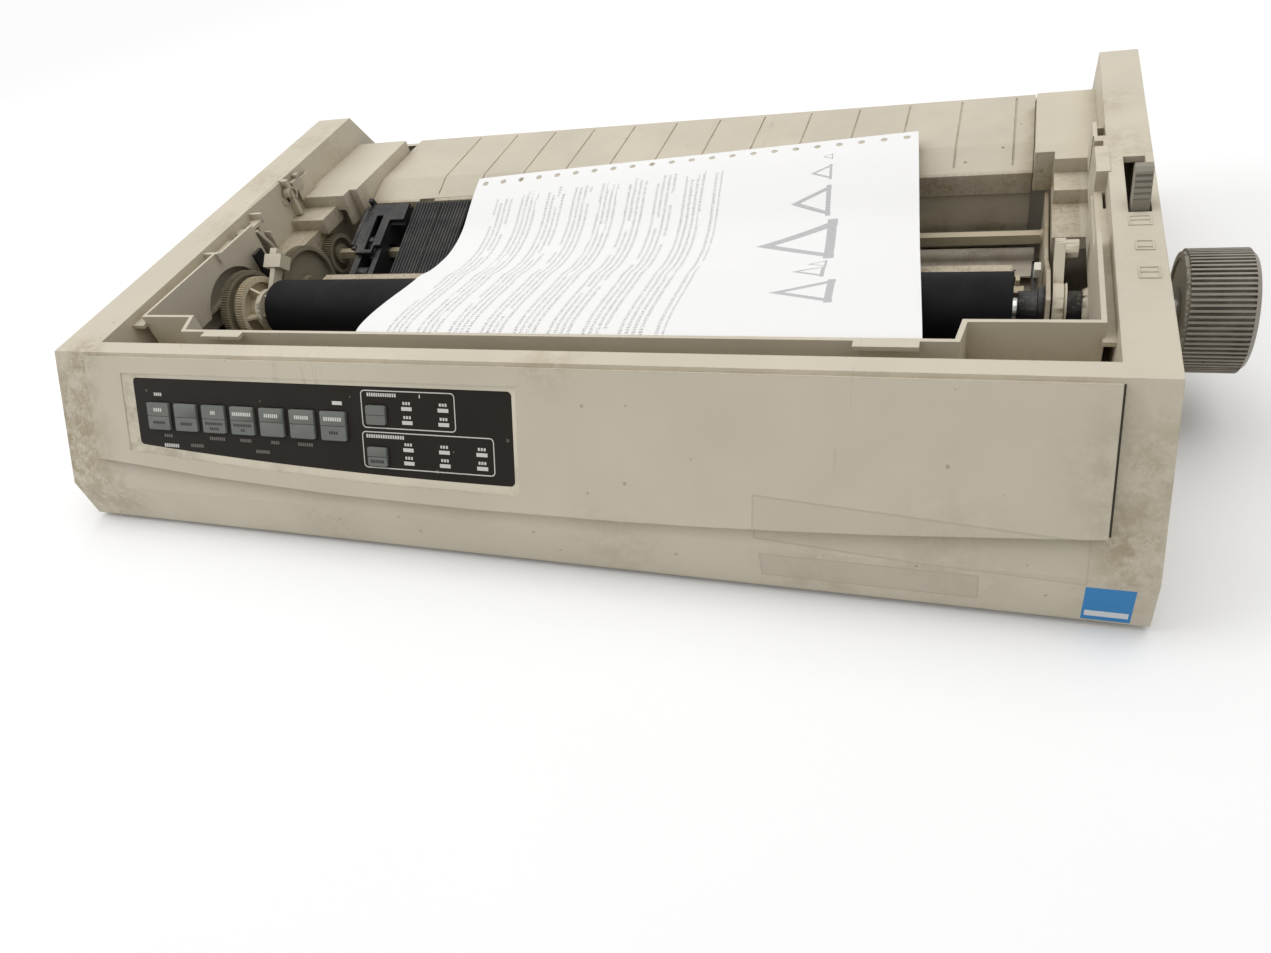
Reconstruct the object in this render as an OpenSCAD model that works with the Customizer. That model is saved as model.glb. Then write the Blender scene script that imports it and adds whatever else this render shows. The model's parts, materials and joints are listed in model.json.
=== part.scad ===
// Wide-carriage dot matrix printer, built as separate pieces on one chassis.
// Case frame: X = 0 at the middle of the case, Y = 0 at its middle depth,
// Z = 0 at the bottom edge of the case. placed() moves it to the part's origin.

/* [Case] */
// Width of the case over its sides
case_w = 552; // [540:1:600]
// Depth of the case, front to back
case_d = 345; // [345:1:380]
// Wall of the moulded case halves
wall = 3; // [2.4:0.1:3.2]
// Height of the upright band along the front foot
crease_z = 24.2; // [22:0.1:26]
// Lean of the front face from upright, in degrees
lean_deg = 31.6; // [30:0.1:33]
// Height of the top edge at the front
front_top_z = 88.4; // [88:0.1:90]
// Height of the side rails at their back end
rail_back_z = 92.5; // [92:0.1:96]
// Depth of the sloping back end of the rails
rear_slope = 20.5; // [18:0.5:24]
// Height at which the back slope meets the back wall
rear_low_z = 60; // [56:0.5:62]
// Height of the joint between the lower and upper case
seam_z = 46; // [45:0.5:47]
// Width of the left rail
rail_left_w = 28; // [26:0.5:30]
// Width of the right rail
rail_right_w = 19; // [18:0.5:22]
// Depth of the flat strip along the front edge of the well
strip_d = 9; // [8:0.5:12]
// Height of the rubber feet below the case
foot_h = 3; // [2:0.5:5]
// Radius of a rubber foot
foot_r = 9; // [6:0.5:12]

/* [Front panel] */
// Left edge of the raised front pad, from the middle
pad_left = 250; // [248:1:252]
// Right edge of the raised front pad, from the middle
pad_right = 257; // [255:1:259]
// How far the pad stands proud of the face
pad_h = 3; // [2:0.1:4]
// Radius of the long bow along the pad's lower edge
bow_r = 3150; // [3000:10:4000]
// Lowest point of the bow, up the face from the crease
bow_s = 6.3; // [6:0.1:10]
// Depth of the recess for the control panel
recess_h = 2; // [1.2:0.1:2.4]
// Left edge of the panel recess
recess_left = 224.5; // [223:0.5:228]
// Right edge of the panel recess
recess_right = 15.5; // [15:0.5:18]
// Margin between the recess edge and the overlay
overlay_margin = 4; // [2:0.5:6]
// Thickness of the panel overlay
overlay_t = 0.8; // [0.5:0.1:1]
// Width of a large key
key_w = 15; // [13:0.1:15.5]
// Height of a large key
key_l = 14.5; // [12:0.1:15]
// Pitch of the large keys
key_pitch = 19.05; // [18:0.05:19.2]
// Width of a small key
small_key_w = 11; // [9:0.1:11.5]
// Travel of a key
key_travel = 1; // [0.5:0.1:1.1]
// Gap around a key
key_gap = 0.4; // [0.3:0.05:0.6]

/* [Platen] */
// Distance of the platen axis from the case front
platen_from_front = 138.5; // [136:0.5:140]
// Height of the platen axis
platen_z = 49; // [49:0.1:49.5]
// Radius of the rubber platen
platen_r = 18; // [16:0.1:18.2]
// Radius of the platen core
core_r = 12; // [10:0.1:14]
// Radius of the platen shaft
shaft_r = 6; // [5:0.1:6.4]
// Radius of the knob
knob_r = 26.8; // [24:0.1:28]
// Length of the knob
knob_l = 27; // [25:0.5:42]
// Gap between the case side and the knob
knob_gap = 10.5; // [6:0.1:12]
// Number of ribs around the knob
knob_ribs = 72; // [40:2:80]
// Teeth of the platen gear
platen_teeth = 40; // [40]
// Teeth of the feed gear that the motor drives
feed_teeth = 48; // [48]
// Teeth of the feed motor pinion
feed_pinion_teeth = 12; // [12]

/* [Tractor] */
// Teeth of the tractor idler gear
idler_teeth = 54; // [54]
// Teeth of the tractor shaft gear
tractor_teeth = 27; // [27]
// Distance between the platen and tractor axes
tractor_reach = 86.5; // [86.3:0.1:86.8]
// Dip of the tractor axis below the platen axis, as an angle
tractor_dip = 7.8; // [7:0.1:8.5]
// Slope of the paper path over the tractors
path_slope = 20.5; // [19:0.5:22]
// Pins on a sprocket wheel
sprocket_pins = 6; // [6]
// Pitch of the paper's feed holes
pin_pitch = 12.7; // [12.7]
// Side of the square drive shaft
square_side = 8; // [6:0.1:8]
// Radius of the round guide shaft
guide_r = 4; // [3:0.1:4.5]
// Distance between the drive shaft and the guide shaft
guide_reach = 19.2; // [19:0.1:19.6]
// From the left frame to the middle of the left pin wheel
tractor_left_in = 51; // [50:0.5:52]
// From the right frame to the middle of the right pin wheel
tractor_right_in = 113.5; // [80:0.5:170]

/* [Carriage] */
// Radius of the carriage rod
rod_r = 6; // [5:0.1:6]
// Distance of the rod in front of the platen axis
rod_front = 48; // [48:0.5:50]
// Height of the carriage rod
rod_z = 24; // [23.5:0.1:24]
// Middle of the carriage at rest
carriage_x = 20; // [-100:1:120]
// Width of the carriage
carriage_w = 56; // [50:1:64]
// Radius of the print head body
head_r = 16; // [13:0.1:16]
// Teeth of the space motor pinion
space_teeth = 16; // [16]
// Radius of the space motor
space_motor_r = 15; // [13:0.1:15]

/* [Paper] */
// Width of the form along its punched edge
paper_w = 279.4; // [200:0.1:279.4]
// Thickness of the sheet
paper_t = 0.3; // [0.2:0.05:0.3]
// Skew of the sheet on the platen, in degrees
paper_skew = 5.7; // [0:0.1:6]

/* [Clearances] */
// Radial clearance of a running fit
run_fit = 0.06; // [0.03:0.01:0.09]
// Clearance between neighbouring bodies
gap = 0.3; // [0.25:0.05:0.4]
// Radial clearance of the shaft holes in the case
hole_gap = 1.5; // [1:0.1:2]

/* [Hidden] */
$fn = 48;
eps = 0.01;
half_w = case_w / 2;
front_y = -case_d / 2;
back_y = case_d / 2;
slant = wall / cos(lean_deg);
face_len = (front_top_z - crease_z) / cos(lean_deg);
seam_s = (seam_z - crease_z) / cos(lean_deg);
strip_y = front_y + (front_top_z - crease_z) * tan(lean_deg) + strip_d;
rail_back_y = back_y - rear_slope;

// Well between the rails, and the thin rim that stands in it
well_x0 = -half_w + rail_left_w;
well_x1 = half_w - rail_right_w;
rim_t = 2;
rim_z = 88;
gutter_z = 61;
gutter_t = 2;
rim_x0 = well_x0 + 9.5;
rim_x1 = well_x1 - 6;
rim_front_y = strip_y + 13.5;
rim_corner_y = strip_y + 27;
rim_tab_y = strip_y + 93;
rim_end_y = strip_y + 128;
rim_jog_left = well_x0 + 45;
rim_jog_right = well_x1 - 56;
ledge_z = 84;

// Mechanism
base_z = 6;
base_t = 1.5;
base_top = base_z + base_t;
frame_t = 2;
frame_l = well_x0 + 11;
frame_r = well_x1 - 23.5;
platen_y = front_y + platen_from_front;
platen_x0 = frame_l + 32;
platen_x1 = frame_r - 13.5;
gear_x = frame_l + 10.7;
gear_w = 7;
feed_x = frame_l + 3.5;
feed_w = 4.5;
tooth_m = 1;
bearing_r = 9;
flange_r = 11;
knob_x0 = half_w + knob_gap;
knob_x1 = knob_x0 + knob_l;
shaft_hole_r = shaft_r + hole_gap;

// Tractor axis, the paper plane above it and the idler between
tractor_left_x = frame_l + tractor_left_in;
tractor_right_x = frame_r - tractor_right_in;
tractor_y = platen_y + tractor_reach * cos(tractor_dip);
tractor_z = platen_z - tractor_reach * sin(tractor_dip);
sprocket_r = sprocket_pins * pin_pitch / (2 * PI);
idler_a = (platen_teeth + idler_teeth) / 2;
idler_b = (tractor_teeth + idler_teeth) / 2;
idler_along = (idler_a * idler_a - idler_b * idler_b + tractor_reach * tractor_reach)
    / (2 * tractor_reach);
idler_turn = acos(idler_along / idler_a);
idler_dir = -tractor_dip - idler_turn;
idler_y = platen_y + idler_a * cos(idler_dir);
idler_z = platen_z + idler_a * sin(idler_dir);
to_tractor_dir = atan2(tractor_z - idler_z, tractor_y - idler_y);
guide_dir = -30;
guide_y = tractor_y + guide_reach * cos(guide_dir);
guide_z = tractor_z + guide_reach * sin(guide_dir);

// Feed motor below the platen, on the outer side of the left frame
feed_dir = -115;
feed_dist = (feed_teeth + feed_pinion_teeth) / 2;
feed_motor_y = platen_y + feed_dist * cos(feed_dir);
feed_motor_z = platen_z + feed_dist * sin(feed_dir);
feed_motor_r = 17.5;

// Pinch rollers under the platen
pinch_r = 6;
pinch_shaft_r = 2.5;
pinch_dist = platen_r + pinch_r + gap;
pinch_x = [-150, -50, 50, 150];
pinch_front_dir = -125;
pinch_rear_dir = -55;

// Carriage
rod_y = platen_y - rod_front;
deck_z0 = 30;
deck_z1 = 33;
space_r = space_teeth / 2;
space_y = rod_y - rod_r - space_motor_r - 1;
rack_pitch_y = space_y - space_r;
rack_z0 = base_top;
rack_z1 = 13.5;

// Control panel, in face coordinates: x, distance s up the face, height h
skin_h = pad_h - recess_h;
overlay_top = skin_h + overlay_t;
key_x0 = -200.6;
key_s = 42.4;
small_keys = [[-60.8, 48.9], [-61.5, 28.5]];
leds = [[-83.7, 53.7], [-43.6, 52.4], [-43.6, 45.7], [-23.5, 52.4], [-23.5, 45.7],
    [-44.1, 32.5], [-44.1, 26], [-24.1, 32.5], [-24.1, 26], [-3.9, 32.5], [-3.9, 26]];
led_w = 3.2;
led_l = 1.6;
board_h = -9;
board_t = 1.6;
switch_top = -4.6;

// Rear guide, end blocks and the selector lever in the right rail
guide_front_y = platen_y + 119;
guide_x0 = well_x0 + 42;
guide_x1 = well_x1 - 30;
guide_top_z = 64;
guide_low_z = 57;
guide_t = 3;
guide_flat_y = guide_front_y + 22;
shelf_z = 72.5;
lever_y = platen_y + 36.5;
lever_z = 50;
slot_y0 = platen_y + 14;
slot_y1 = platen_y + 64;
slot_x0 = well_x1 + 6.5;
slot_x1 = half_w - wall - 0.4;
lever_x0 = slot_x0 + 1;
lever_w = 7;

// ---------- helpers ----------

// From the case frame to the part's origin: middle of the base, under the feet
module placed() {
    translate([-(knob_x1 - half_w) / 2, 0, foot_h]) children();
}

// Extrude a Y-Z outline from x0 to x1
module yz(x0, x1) {
    translate([x0, 0, 0]) rotate([90, 0, 90]) linear_extrude(x1 - x0) children();
}

// Cylinder along X
module rod(r, x0, x1, y, z) {
    translate([x0, y, z]) rotate([0, 90, 0]) cylinder(r = r, h = x1 - x0);
}

// Block between two corners
module block(x0, x1, y0, y1, z0, z1) {
    translate([x0, y0, z0]) cube([x1 - x0, y1 - y0, z1 - z0]);
}

// Face coordinates: x along the case, s up the leaning face, h out of it
module on_face() {
    translate([0, front_y, crease_z]) rotate([90 - lean_deg, 0, 0]) children();
}

// Tractor coordinates: u up the paper path, w out of it, around the tractor axis
module on_path() {
    translate([0, tractor_y, tractor_z]) rotate([path_slope, 0, 0]) children();
}

// Plate with round corners, centred in x and s
module round_plate(w, l, r, h0, h1) {
    translate([0, 0, h0]) linear_extrude(h1 - h0) union() {
        square([w - 2 * r, l], center = true);
        square([w, l - 2 * r], center = true);
        for (sx = [-1, 1], sy = [-1, 1])
            translate([sx * (w / 2 - r), sy * (l / 2 - r)]) circle(r);
    }
}

function face_y(z) = front_y + (z - crease_z) * tan(lean_deg);

// ---------- gears ----------

// Half the angle of a tooth at radius r, in degrees
function involute(rb, r) = r <= rb ? 0 : tan(acos(rb / r)) * 180 / PI - acos(rb / r);
function half_tooth(n, r) = let (rp = n * tooth_m / 2, rb = rp * cos(20))
    90 / n - 0.05 / rp * 180 / PI + involute(rb, rp) - involute(rb, r);
function flank_radii(n) = let (rp = n * tooth_m / 2, rb = rp * cos(20), rf = rp - 1.2 * tooth_m,
    r0 = max(rb, rf), ra = rp + 0.95 * tooth_m)
    [rf, for (i = [0:3]) r0 + (ra - r0) * (i + 0.02) / 3.02];
function gear_points(n) = let (rs = flank_radii(n)) [for (i = [0:n - 1])
    each [for (k = [0:2 * len(rs) - 1]) let (up = k < len(rs),
        r = rs[up ? k : 2 * len(rs) - 1 - k],
        a = 360 * i / n + (up ? -1 : 1) * half_tooth(n, r)) [r * cos(a), r * sin(a)]]];

// Spur gear along X, its first tooth at angle phase from +Y
module gear(n, phase, x0, x1, y, z) {
    translate([0, y, z]) yz(x0, x1) rotate(phase) polygon(gear_points(n));
}

// Phase that meshes gear B with gear A along direction dir
function mesh(phase_a, na, nb, dir) = dir + 180 + (dir - phase_a) * na / nb + 180 / nb;

platen_phase = 0;
idler_phase = mesh(platen_phase, platen_teeth, idler_teeth, idler_dir);
tractor_phase = mesh(idler_phase, idler_teeth, tractor_teeth, to_tractor_dir);
feed_pinion_phase = mesh(0, feed_teeth, feed_pinion_teeth, feed_dir);

// Lightening holes around an X axis
module gear_holes(count, at_r, r, x0, x1, y, z) {
    for (i = [0:count - 1]) let (a = 360 * (i + 0.5) / count)
        rod(r, x0 - eps, x1 + eps, y + at_r * cos(a), z + at_r * sin(a));
}

// ---------- case ----------

module side_outline() {
    polygon([[front_y, 0], [front_y, crease_z], [face_y(front_top_z), front_top_z],
        [rail_back_y, rail_back_z], [back_y, rear_low_z], [back_y, 0]]);
}

module side_inside() {
    polygon([[front_y + wall, wall], [front_y + wall, crease_z + (wall - slant) / tan(lean_deg)],
        [face_y(front_top_z - wall) + slant, front_top_z - wall],
        [rail_back_y - wall / 2, rail_back_z - wall], [back_y - wall, rear_low_z - wall / 2],
        [back_y - wall, wall]]);
}

module case_shell() {
    difference() {
        yz(-half_w, half_w) side_outline();
        yz(-half_w + wall, half_w - wall) side_inside();
    }
}

// Disc that bows the lower edge of the pad and of the recess in it
module bow(s, h0, h1) {
    translate([(pad_right - pad_left) / 2 + 1.5, s + bow_r, h0])
        cylinder(r = bow_r, h = h1 - h0, $fn = 360);
}

// Region of the front face that belongs to the upper case, grown by g
module pad_region(g, h0, h1) {
    on_face() intersection() {
        translate([-pad_left - g, 0, h0]) cube([pad_left + pad_right + 2 * g, face_len - 2, h1 - h0]);
        bow(bow_s - g, h0 - 1, h1 + 1);
    }
}

module recess_region(s, inset, h0, h1) {
    on_face() intersection() {
        translate([-recess_left + 1.8 * inset, 0, h0])
            cube([recess_left + recess_right - 2.4 * inset, 64.8 - 0.5 * inset, h1 - h0]);
        bow(s, h0 - 1, h1 + 1);
    }
}

module knob_shaft_hole() {
    rod(shaft_hole_r, rim_x1 - 3, half_w + 1, platen_y, platen_z);
}

module key_holes(grow, h0, h1) {
    on_face() {
        for (i = [0:6]) translate([key_x0 + i * key_pitch, key_s, 0])
            round_plate(key_w + 2 * grow, key_l + 2 * grow, 1.2, h0, h1);
        for (k = small_keys) translate([k[0], k[1], 0])
            round_plate(small_key_w + 2 * grow, small_key_w * 0.85 + 2 * grow, 1.2, h0, h1);
    }
}

module led_holes(grow, h0, h1) {
    on_face() for (p = leds) translate([p[0] - led_w / 2 - grow, p[1] - led_l / 2 - grow, h0])
        cube([led_w + 2 * grow, led_l + 2 * grow, h1 - h0]);
}

boss_xy = [for (x = [frame_l + 15, frame_r - 15], y = [rod_y - 25, tractor_y + 8]) [x, y]];
screw_r = 1.5;

module lower_case() placed() color([0.83, 0.80, 0.72]) {
    difference() {
        union() {
            intersection() {
                case_shell();
                block(-half_w, half_w, front_y, back_y, 0, seam_z);
            }
            for (p = boss_xy) translate([p[0], p[1], wall - eps])
                cylinder(r = 5, h = base_z - wall + eps);
            for (p = board_posts) translate([p[0], p[1], wall - eps])
                cylinder(r = 3, h = board_z - wall + eps);
            for (x = [supply_x0 + 8, supply_x1 - 8])
                block(x - 3, x + 3, supply_y0, supply_y1, wall - eps, supply_z);
        }
        pad_region(gap, -2 * wall, 2 * pad_h);
        knob_shaft_hole();
        for (p = boss_xy) translate([p[0], p[1], 0.8]) cylinder(r = screw_r, h = 10);
        for (i = [0:11]) block(-60 + 14 * i, -54 + 14 * i, -40, 20, -1, wall + 1);
        entry_box(0, back_y - 2 * wall, back_y + 1);
        block(plug_x - plug_w / 2, plug_x + plug_w / 2, back_y - 2 * wall, back_y + 1,
            plug_z, plug_z + plug_h);
    }
}

// Inner face of the thin rim around the mechanism, seen from above, grown by g
function rim_points(g) = [[rim_x0 - g, rim_end_y + 12], [rim_x0 - g, rim_corner_y - g],
    [rim_jog_left - g, rim_corner_y - g], [rim_jog_left + 5 - g, rim_front_y - g],
    [rim_jog_right - 2 + g, rim_front_y - g], [rim_jog_right + g, rim_corner_y - g],
    [rim_x1 + g, rim_corner_y - g], [rim_x1 + g, rim_end_y + 12]];

module rim_area(g, z0, z1) {
    translate([0, 0, z0]) linear_extrude(z1 - z0) polygon(rim_points(g));
}

// Stepped moulding at one end of the rear guide; side is -1 left, 1 right
module end_block(side) {
    xo = side < 0 ? well_x0 - wall : well_x1 + wall;
    xs = side < 0 ? guide_x0 : guide_x1;
    xn = side < 0 ? guide_x0 - 6 : guide_x1 + 9.3;
    x1 = side < 0 ? guide_x0 - 15 : guide_x1 + 9.6;
    x2 = side < 0 ? well_x0 + 20.6 : frame_r + frame_t + 0.8;
    ys = guide_front_y - 8.5;
    yn = guide_front_y - 17;
    y1 = guide_front_y - 36;
    y2 = platen_y + 50;
    zs = shelf_z - wall;
    z1 = guide_low_z + 8;
    z2 = guide_low_z + 0.5;
    module slab(xa, xb, y0, y1, z0, z1)
        block(min(xa, xb), max(xa, xb), y0, y1, z0, z1);
    slab(xo, xs, ys, rail_back_y - 1, zs, shelf_z);
    slab(xo, xn, yn, ys + 1, zs, shelf_z);
    slab(xs, xs + side * 2.5, ys, rail_back_y - 1, seam_z + 5, shelf_z);
    slab(xs, xn, ys, ys + 2.5, seam_z + 5, shelf_z);
    slab(xs + side * 2, xs - side * 6, guide_flat_y + 4, rail_back_y - 1,
        guide_top_z - guide_t - 3, guide_top_z - guide_t);
    slab(xo, xn, yn, yn + 2.5, z1 - wall, shelf_z);
    slab(xn, xn + side * 2.5, yn, ys + 2.5, seam_z + 5, shelf_z);
    slab(xo, x1, y1, yn + 2.5, z1 - wall, z1);
    slab(xo, x1, y1, y1 + 2.5, z2 - wall, z1);
    slab(x1, x1 + side * 2.5, y1, yn + 2.5, z2 - wall, z1);
    slab(xo, x2, y2, y1 + 2.5, z2 - wall, z2);
    slab(x2, x2 + side * 2, y2, ys + 2.5, seam_z + (side < 0 ? 0 : 5), z2);
    slab(xo, x2, y2, y2 + 2, seam_z + 5, z2);
    if (side > 0) slab(x2, x2 + 2.5, y2, ys + 2.5, seam_z, z2);
}

module upper_case() placed() color([0.85, 0.82, 0.74]) {
    difference() {
        union() {
            difference() {
                union() {
                    intersection() {
                        case_shell();
                        block(-half_w, half_w, front_y - 1, back_y, seam_z, rail_back_z);
                    }
                    intersection() {
                        case_shell();
                        pad_region(0, -2 * wall, 1);
                    }
                    pad_region(0, -1, pad_h);
                }
                block(well_x0, well_x1, strip_y, back_y + 1, gutter_z, rail_back_z + 1);
            }
            well_walls();
        }
        recess_region(bow_s + 8, 0, skin_h, pad_h + 1);
        key_holes(key_gap, -2 * wall, pad_h);
        led_holes(key_gap, -2 * wall, pad_h);
        knob_shaft_hole();
        rod(feed_teeth / 2 + 3, rim_x0 - 3, rim_x0 + 1, platen_y, platen_z);
        block(slot_x0, slot_x1, slot_y0, slot_y1, rail_back_z - 2 * wall, rail_back_z + 1);
        for (y = [25, 39]) block(well_x0 + 0.6, well_x0 + 2.6, platen_y + y, platen_y + y + 8,
            ledge_z - 5, ledge_z + 1);
        translate([well_x0, platen_y + 54, rail_back_z - 2.2]) rotate([0, -55, 0])
            translate([-1, 0, 0]) cube([8, 37, 6]);
        block(well_x1 - 1.6, well_x1 - 0.2, platen_y + 34, platen_y + 49, ledge_z - 10, ledge_z);
    }
    on_face() for (x = [-214, -100, -70, 5])
        translate([x, 34, board_h + board_t]) cylinder(r = 2.5, h = -board_h - board_t - wall + eps);
}

// Walls, gutters, rim, end blocks and small ribs inside the well
module well_walls() {
    intersection() {
        union() {
            block(well_x0 - wall, well_x0, strip_y - 1, back_y, seam_z, rail_back_z);
            block(well_x1, well_x1 + wall, strip_y - 1, back_y, seam_z, rail_back_z);
            block(well_x0 - wall, well_x1 + wall, strip_y - wall, strip_y, gutter_z - gutter_t, rim_z);
        }
        yz(-half_w, half_w) side_outline();
    }
    difference() {
        block(well_x0 - 1, well_x1 + 1, strip_y - 1, rim_end_y + 12, gutter_z - gutter_t, gutter_z);
        rim_area(0, gutter_z - 10, gutter_z + 10);
    }
    difference() {
        rim_area(rim_t, gutter_z - gutter_t, rim_z);
        rim_area(0, gutter_z - 10, rim_z + 1);
        block(rim_x0 + 1, rim_x1 - 1, rim_end_y, rim_end_y + 30, gutter_z - 5, rim_z + 1);
        block(rim_x0 - 5, rim_x0 + 5, rim_tab_y, rim_end_y + 30, rim_z - 2, rim_z + 1);
        block(rim_x0 - 5, rim_x0 + 5, rim_end_y + 2, rim_end_y + 30, gutter_z - 5, rim_z + 1);
        block(rim_x1 - 5, rim_x1 + 5, rim_tab_y, rim_end_y + 30, rim_z - 9, rim_z + 1);
    }
    block(well_x0 - 1, rim_x0 + 2, rim_tab_y - 1, rim_tab_y + 1, ledge_z - 2, rim_z);
    block(well_x0 - 1, rim_x0 - 1, rim_corner_y - 5, platen_y + 52, ledge_z - 2, ledge_z);
    block(well_x0 - 1, rim_x0, platen_y + 51, platen_y + 53, ledge_z - 2, rim_z);
    block(rim_x1 + 1, well_x1 + 1, rim_corner_y - 5, platen_y + 52, ledge_z - 5, ledge_z - 3);
    for (x = [rim_jog_left + 20, rim_jog_right - 41])
        block(x, x + 26, rim_front_y - rim_t - 4, rim_front_y - rim_t + eps, rim_z - 2, rim_z);
    difference() {
        block(well_x1 - 5, well_x1 + 1, platen_y + 50.2, platen_y + 86.5, shelf_z - 8, rail_back_z - 1.5);
        block(well_x1 - 6, well_x1 - 1.2, platen_y + 75.7, platen_y + 81, rim_z, rail_back_z);
    }
    block(well_x1 - 5.5, well_x1 - 3.5, platen_y + 86.4, platen_y + 102, shelf_z - 1, rail_back_z - 1.5);
    block(well_x1 - 4, well_x1 + 1, platen_y + 100, platen_y + 102, shelf_z - 1, rail_back_z - 4);
    block(well_x0 - 1, well_x0 + 8, platen_y + 46, platen_y + 48, guide_low_z - 2, rim_z - 5);
    block(well_x0 - 1, well_x0 + 12, platen_y + 49, platen_y + 50.5, guide_low_z - 2, rim_z - 12);
    translate([well_x0 - 1, platen_y + 50, guide_low_z + 2]) rotate([24, 0, 0])
        cube([12, 2, 24]);
    difference() {
        block(well_x0 - 1, well_x0 + 5, platen_y + 90, platen_y + 93, guide_low_z + 9, rim_z + 3);
        block(well_x0, well_x0 + 3, platen_y + 89, platen_y + 94, rim_z - 8, rim_z);
    }
    block(well_x0 + 1.5, well_x0 + 3, platen_y + 100, platen_y + 117, shelf_z - 1, rim_z - 3);
    block(well_x0 - 1, well_x0 + 3, platen_y + 115, platen_y + 117, shelf_z - 1, rim_z - 3);
    rod(3, well_x0 - 1, well_x0 + 0.6, platen_y + 87, 78);
    end_block(-1);
    end_block(1);
    translate([rim_x1 - 2, platen_y, platen_z]) rotate([0, 90, 0])
        cylinder(r1 = shaft_hole_r + 2, r2 = shaft_hole_r + 6, h = well_x1 - rim_x1 + 2 + eps);
    rod(guide_r, slot_x0 - 1, half_w - wall + eps, lever_y, lever_z);
    block(half_w - wall - 1.2, half_w - wall + eps, lever_y - 6, lever_y + 6, lever_z, lever_z + 12);
}

module rear_guide() placed() color([0.82, 0.79, 0.70]) {
    x0 = guide_x0 + gap;
    x1 = guide_x1 - gap;
    pitch = 30.7;
    difference() {
        yz(x0, x1) polygon([[guide_front_y, guide_low_z - 12], [guide_front_y, guide_low_z],
            [guide_flat_y, guide_top_z], [back_y - 2.6, guide_top_z],
            [back_y - 0.7, guide_top_z - guide_t], [guide_flat_y, guide_top_z - guide_t],
            [guide_front_y + 5.5, guide_low_z - guide_t + 0.3],
            [guide_front_y + 5.5, base_z + 4], [guide_front_y + 3, base_z + 4],
            [guide_front_y + 3, guide_low_z - 12]]);
        for (x = [x0 + 53.2: pitch: x1 - 4])
            yz(x, x + 0.9) polygon([[guide_front_y + 6, guide_low_z + 0.9],
                [guide_flat_y, guide_top_z - 0.7], [back_y - 6, guide_top_z - 0.7],
                [back_y - 6, guide_top_z + 2], [guide_front_y + 6, guide_top_z + 2]]);
        block(x0 + 40, x0 + 52, guide_front_y - 1, guide_front_y + 2.2, guide_low_z - 6, guide_low_z + 3);
    }
}

// ---------- control panel ----------

module panel_overlay() placed() color([0.13, 0.11, 0.10]) difference() {
    recess_region(bow_s + 12, overlay_margin, skin_h, overlay_top);
    key_holes(key_gap, -1, pad_h + 1);
    led_holes(0.05, -1, pad_h + 1);
}

module panel_leds() placed() color([0.85, 0.85, 0.80]) led_holes(0, board_h + board_t, overlay_top + 0.1);

module panel_board() placed() color([0.15, 0.35, 0.20]) on_face() {
    translate([-219, 19, board_h]) cube([231, 42, board_t]);
    for (i = [0:6]) translate([key_x0 + i * key_pitch - 3, key_s - 3, board_h + board_t - eps])
        cube([6, 6, switch_top - board_h - board_t]);
    for (k = small_keys) translate([k[0] - 3, k[1] - 3, board_h + board_t - eps])
        cube([6, 6, switch_top - board_h - board_t]);
}

// A key cap with its stem, in face coordinates
module key_cap(x, s, w, l) {
    on_face() translate([x, s, 0]) {
        difference() {
            round_plate(w, l, 1, -1.5, pad_h + 0.2);
            translate([-w / 2 - 1, -0.15, pad_h - 0.15]) cube([w + 2, 0.3, 1]);
        }
        translate([0, 0, switch_top + key_travel + 0.2]) cylinder(r = 2, h = 3);
    }
}

module large_key(i) placed() color([0.52, 0.55, 0.52])
    key_cap(key_x0 + i * key_pitch, key_s, key_w, key_l);

module small_key(i) placed() color([0.52, 0.55, 0.52])
    key_cap(small_keys[i][0], small_keys[i][1], small_key_w, small_key_w * 0.85);

// ---------- chassis ----------

module chassis_base() placed() color([0.72, 0.72, 0.70]) difference() {
    block(frame_l, frame_r + frame_t, rod_y - 43, tractor_y + 24, base_z, base_top);
    for (x = [-150, -50, 50, 150]) block(x - 35, x + 35, -20, 25, 0, 20);
    for (p = boss_xy) translate([p[0], p[1], 0]) cylinder(r = screw_r, h = 20);
}

function frame_outline() = [[rod_y - 43, base_top], [tractor_y + 24, base_top],
    [tractor_y + 24, tractor_z + 13],
    [platen_y + 42, tractor_z + 13], [platen_y + 12, platen_z + 14], [platen_y - 12, platen_z + 14],
    [platen_y - 22, platen_z - 4], [rod_y - 12, platen_z - 12], [rod_y - 43, platen_z - 24]];

module side_frame(x) {
    difference() {
        yz(x, x + frame_t) polygon(frame_outline());
        rod(bearing_r, x - 1, x + frame_t + 1, platen_y, platen_z);
        rod(rod_r, x - 1, x + frame_t + 1, rod_y, rod_z);
        rod(4 + run_fit, x - 1, x + frame_t + 1, tractor_y, tractor_z);
        rod(guide_r, x - 1, x + frame_t + 1, guide_y, guide_z);
    }
}

module side_frame_left() placed() color([0.76, 0.73, 0.65]) {
    difference() {
        side_frame(frame_l);
        rod(8, frame_l - 1, frame_l + frame_t + 1, feed_motor_y, feed_motor_z);
    }
    rod(4, frame_l + frame_t - eps, gear_x + gear_w + 1, idler_y, idler_z);
    rod(7, frame_l + frame_t - eps, gear_x - gap, idler_y, idler_z);
    rod(3, frame_l + frame_t - eps, frame_l + 5, gap_lever_y, gap_lever_z);
}

module side_frame_right() placed() color([0.76, 0.73, 0.65]) side_frame(frame_r);

module screws() placed() color([0.70, 0.70, 0.72]) for (p = boss_xy) translate([p[0], p[1], 0]) {
    translate([0, 0, 0.8]) cylinder(r = screw_r, h = base_top - 0.8 + eps);
    difference() {
        translate([0, 0, base_top]) cylinder(r = 3, h = 1.8);
        translate([-4, -0.4, base_top + 1.2]) cube([8, 0.8, 1]);
    }
}

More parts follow.
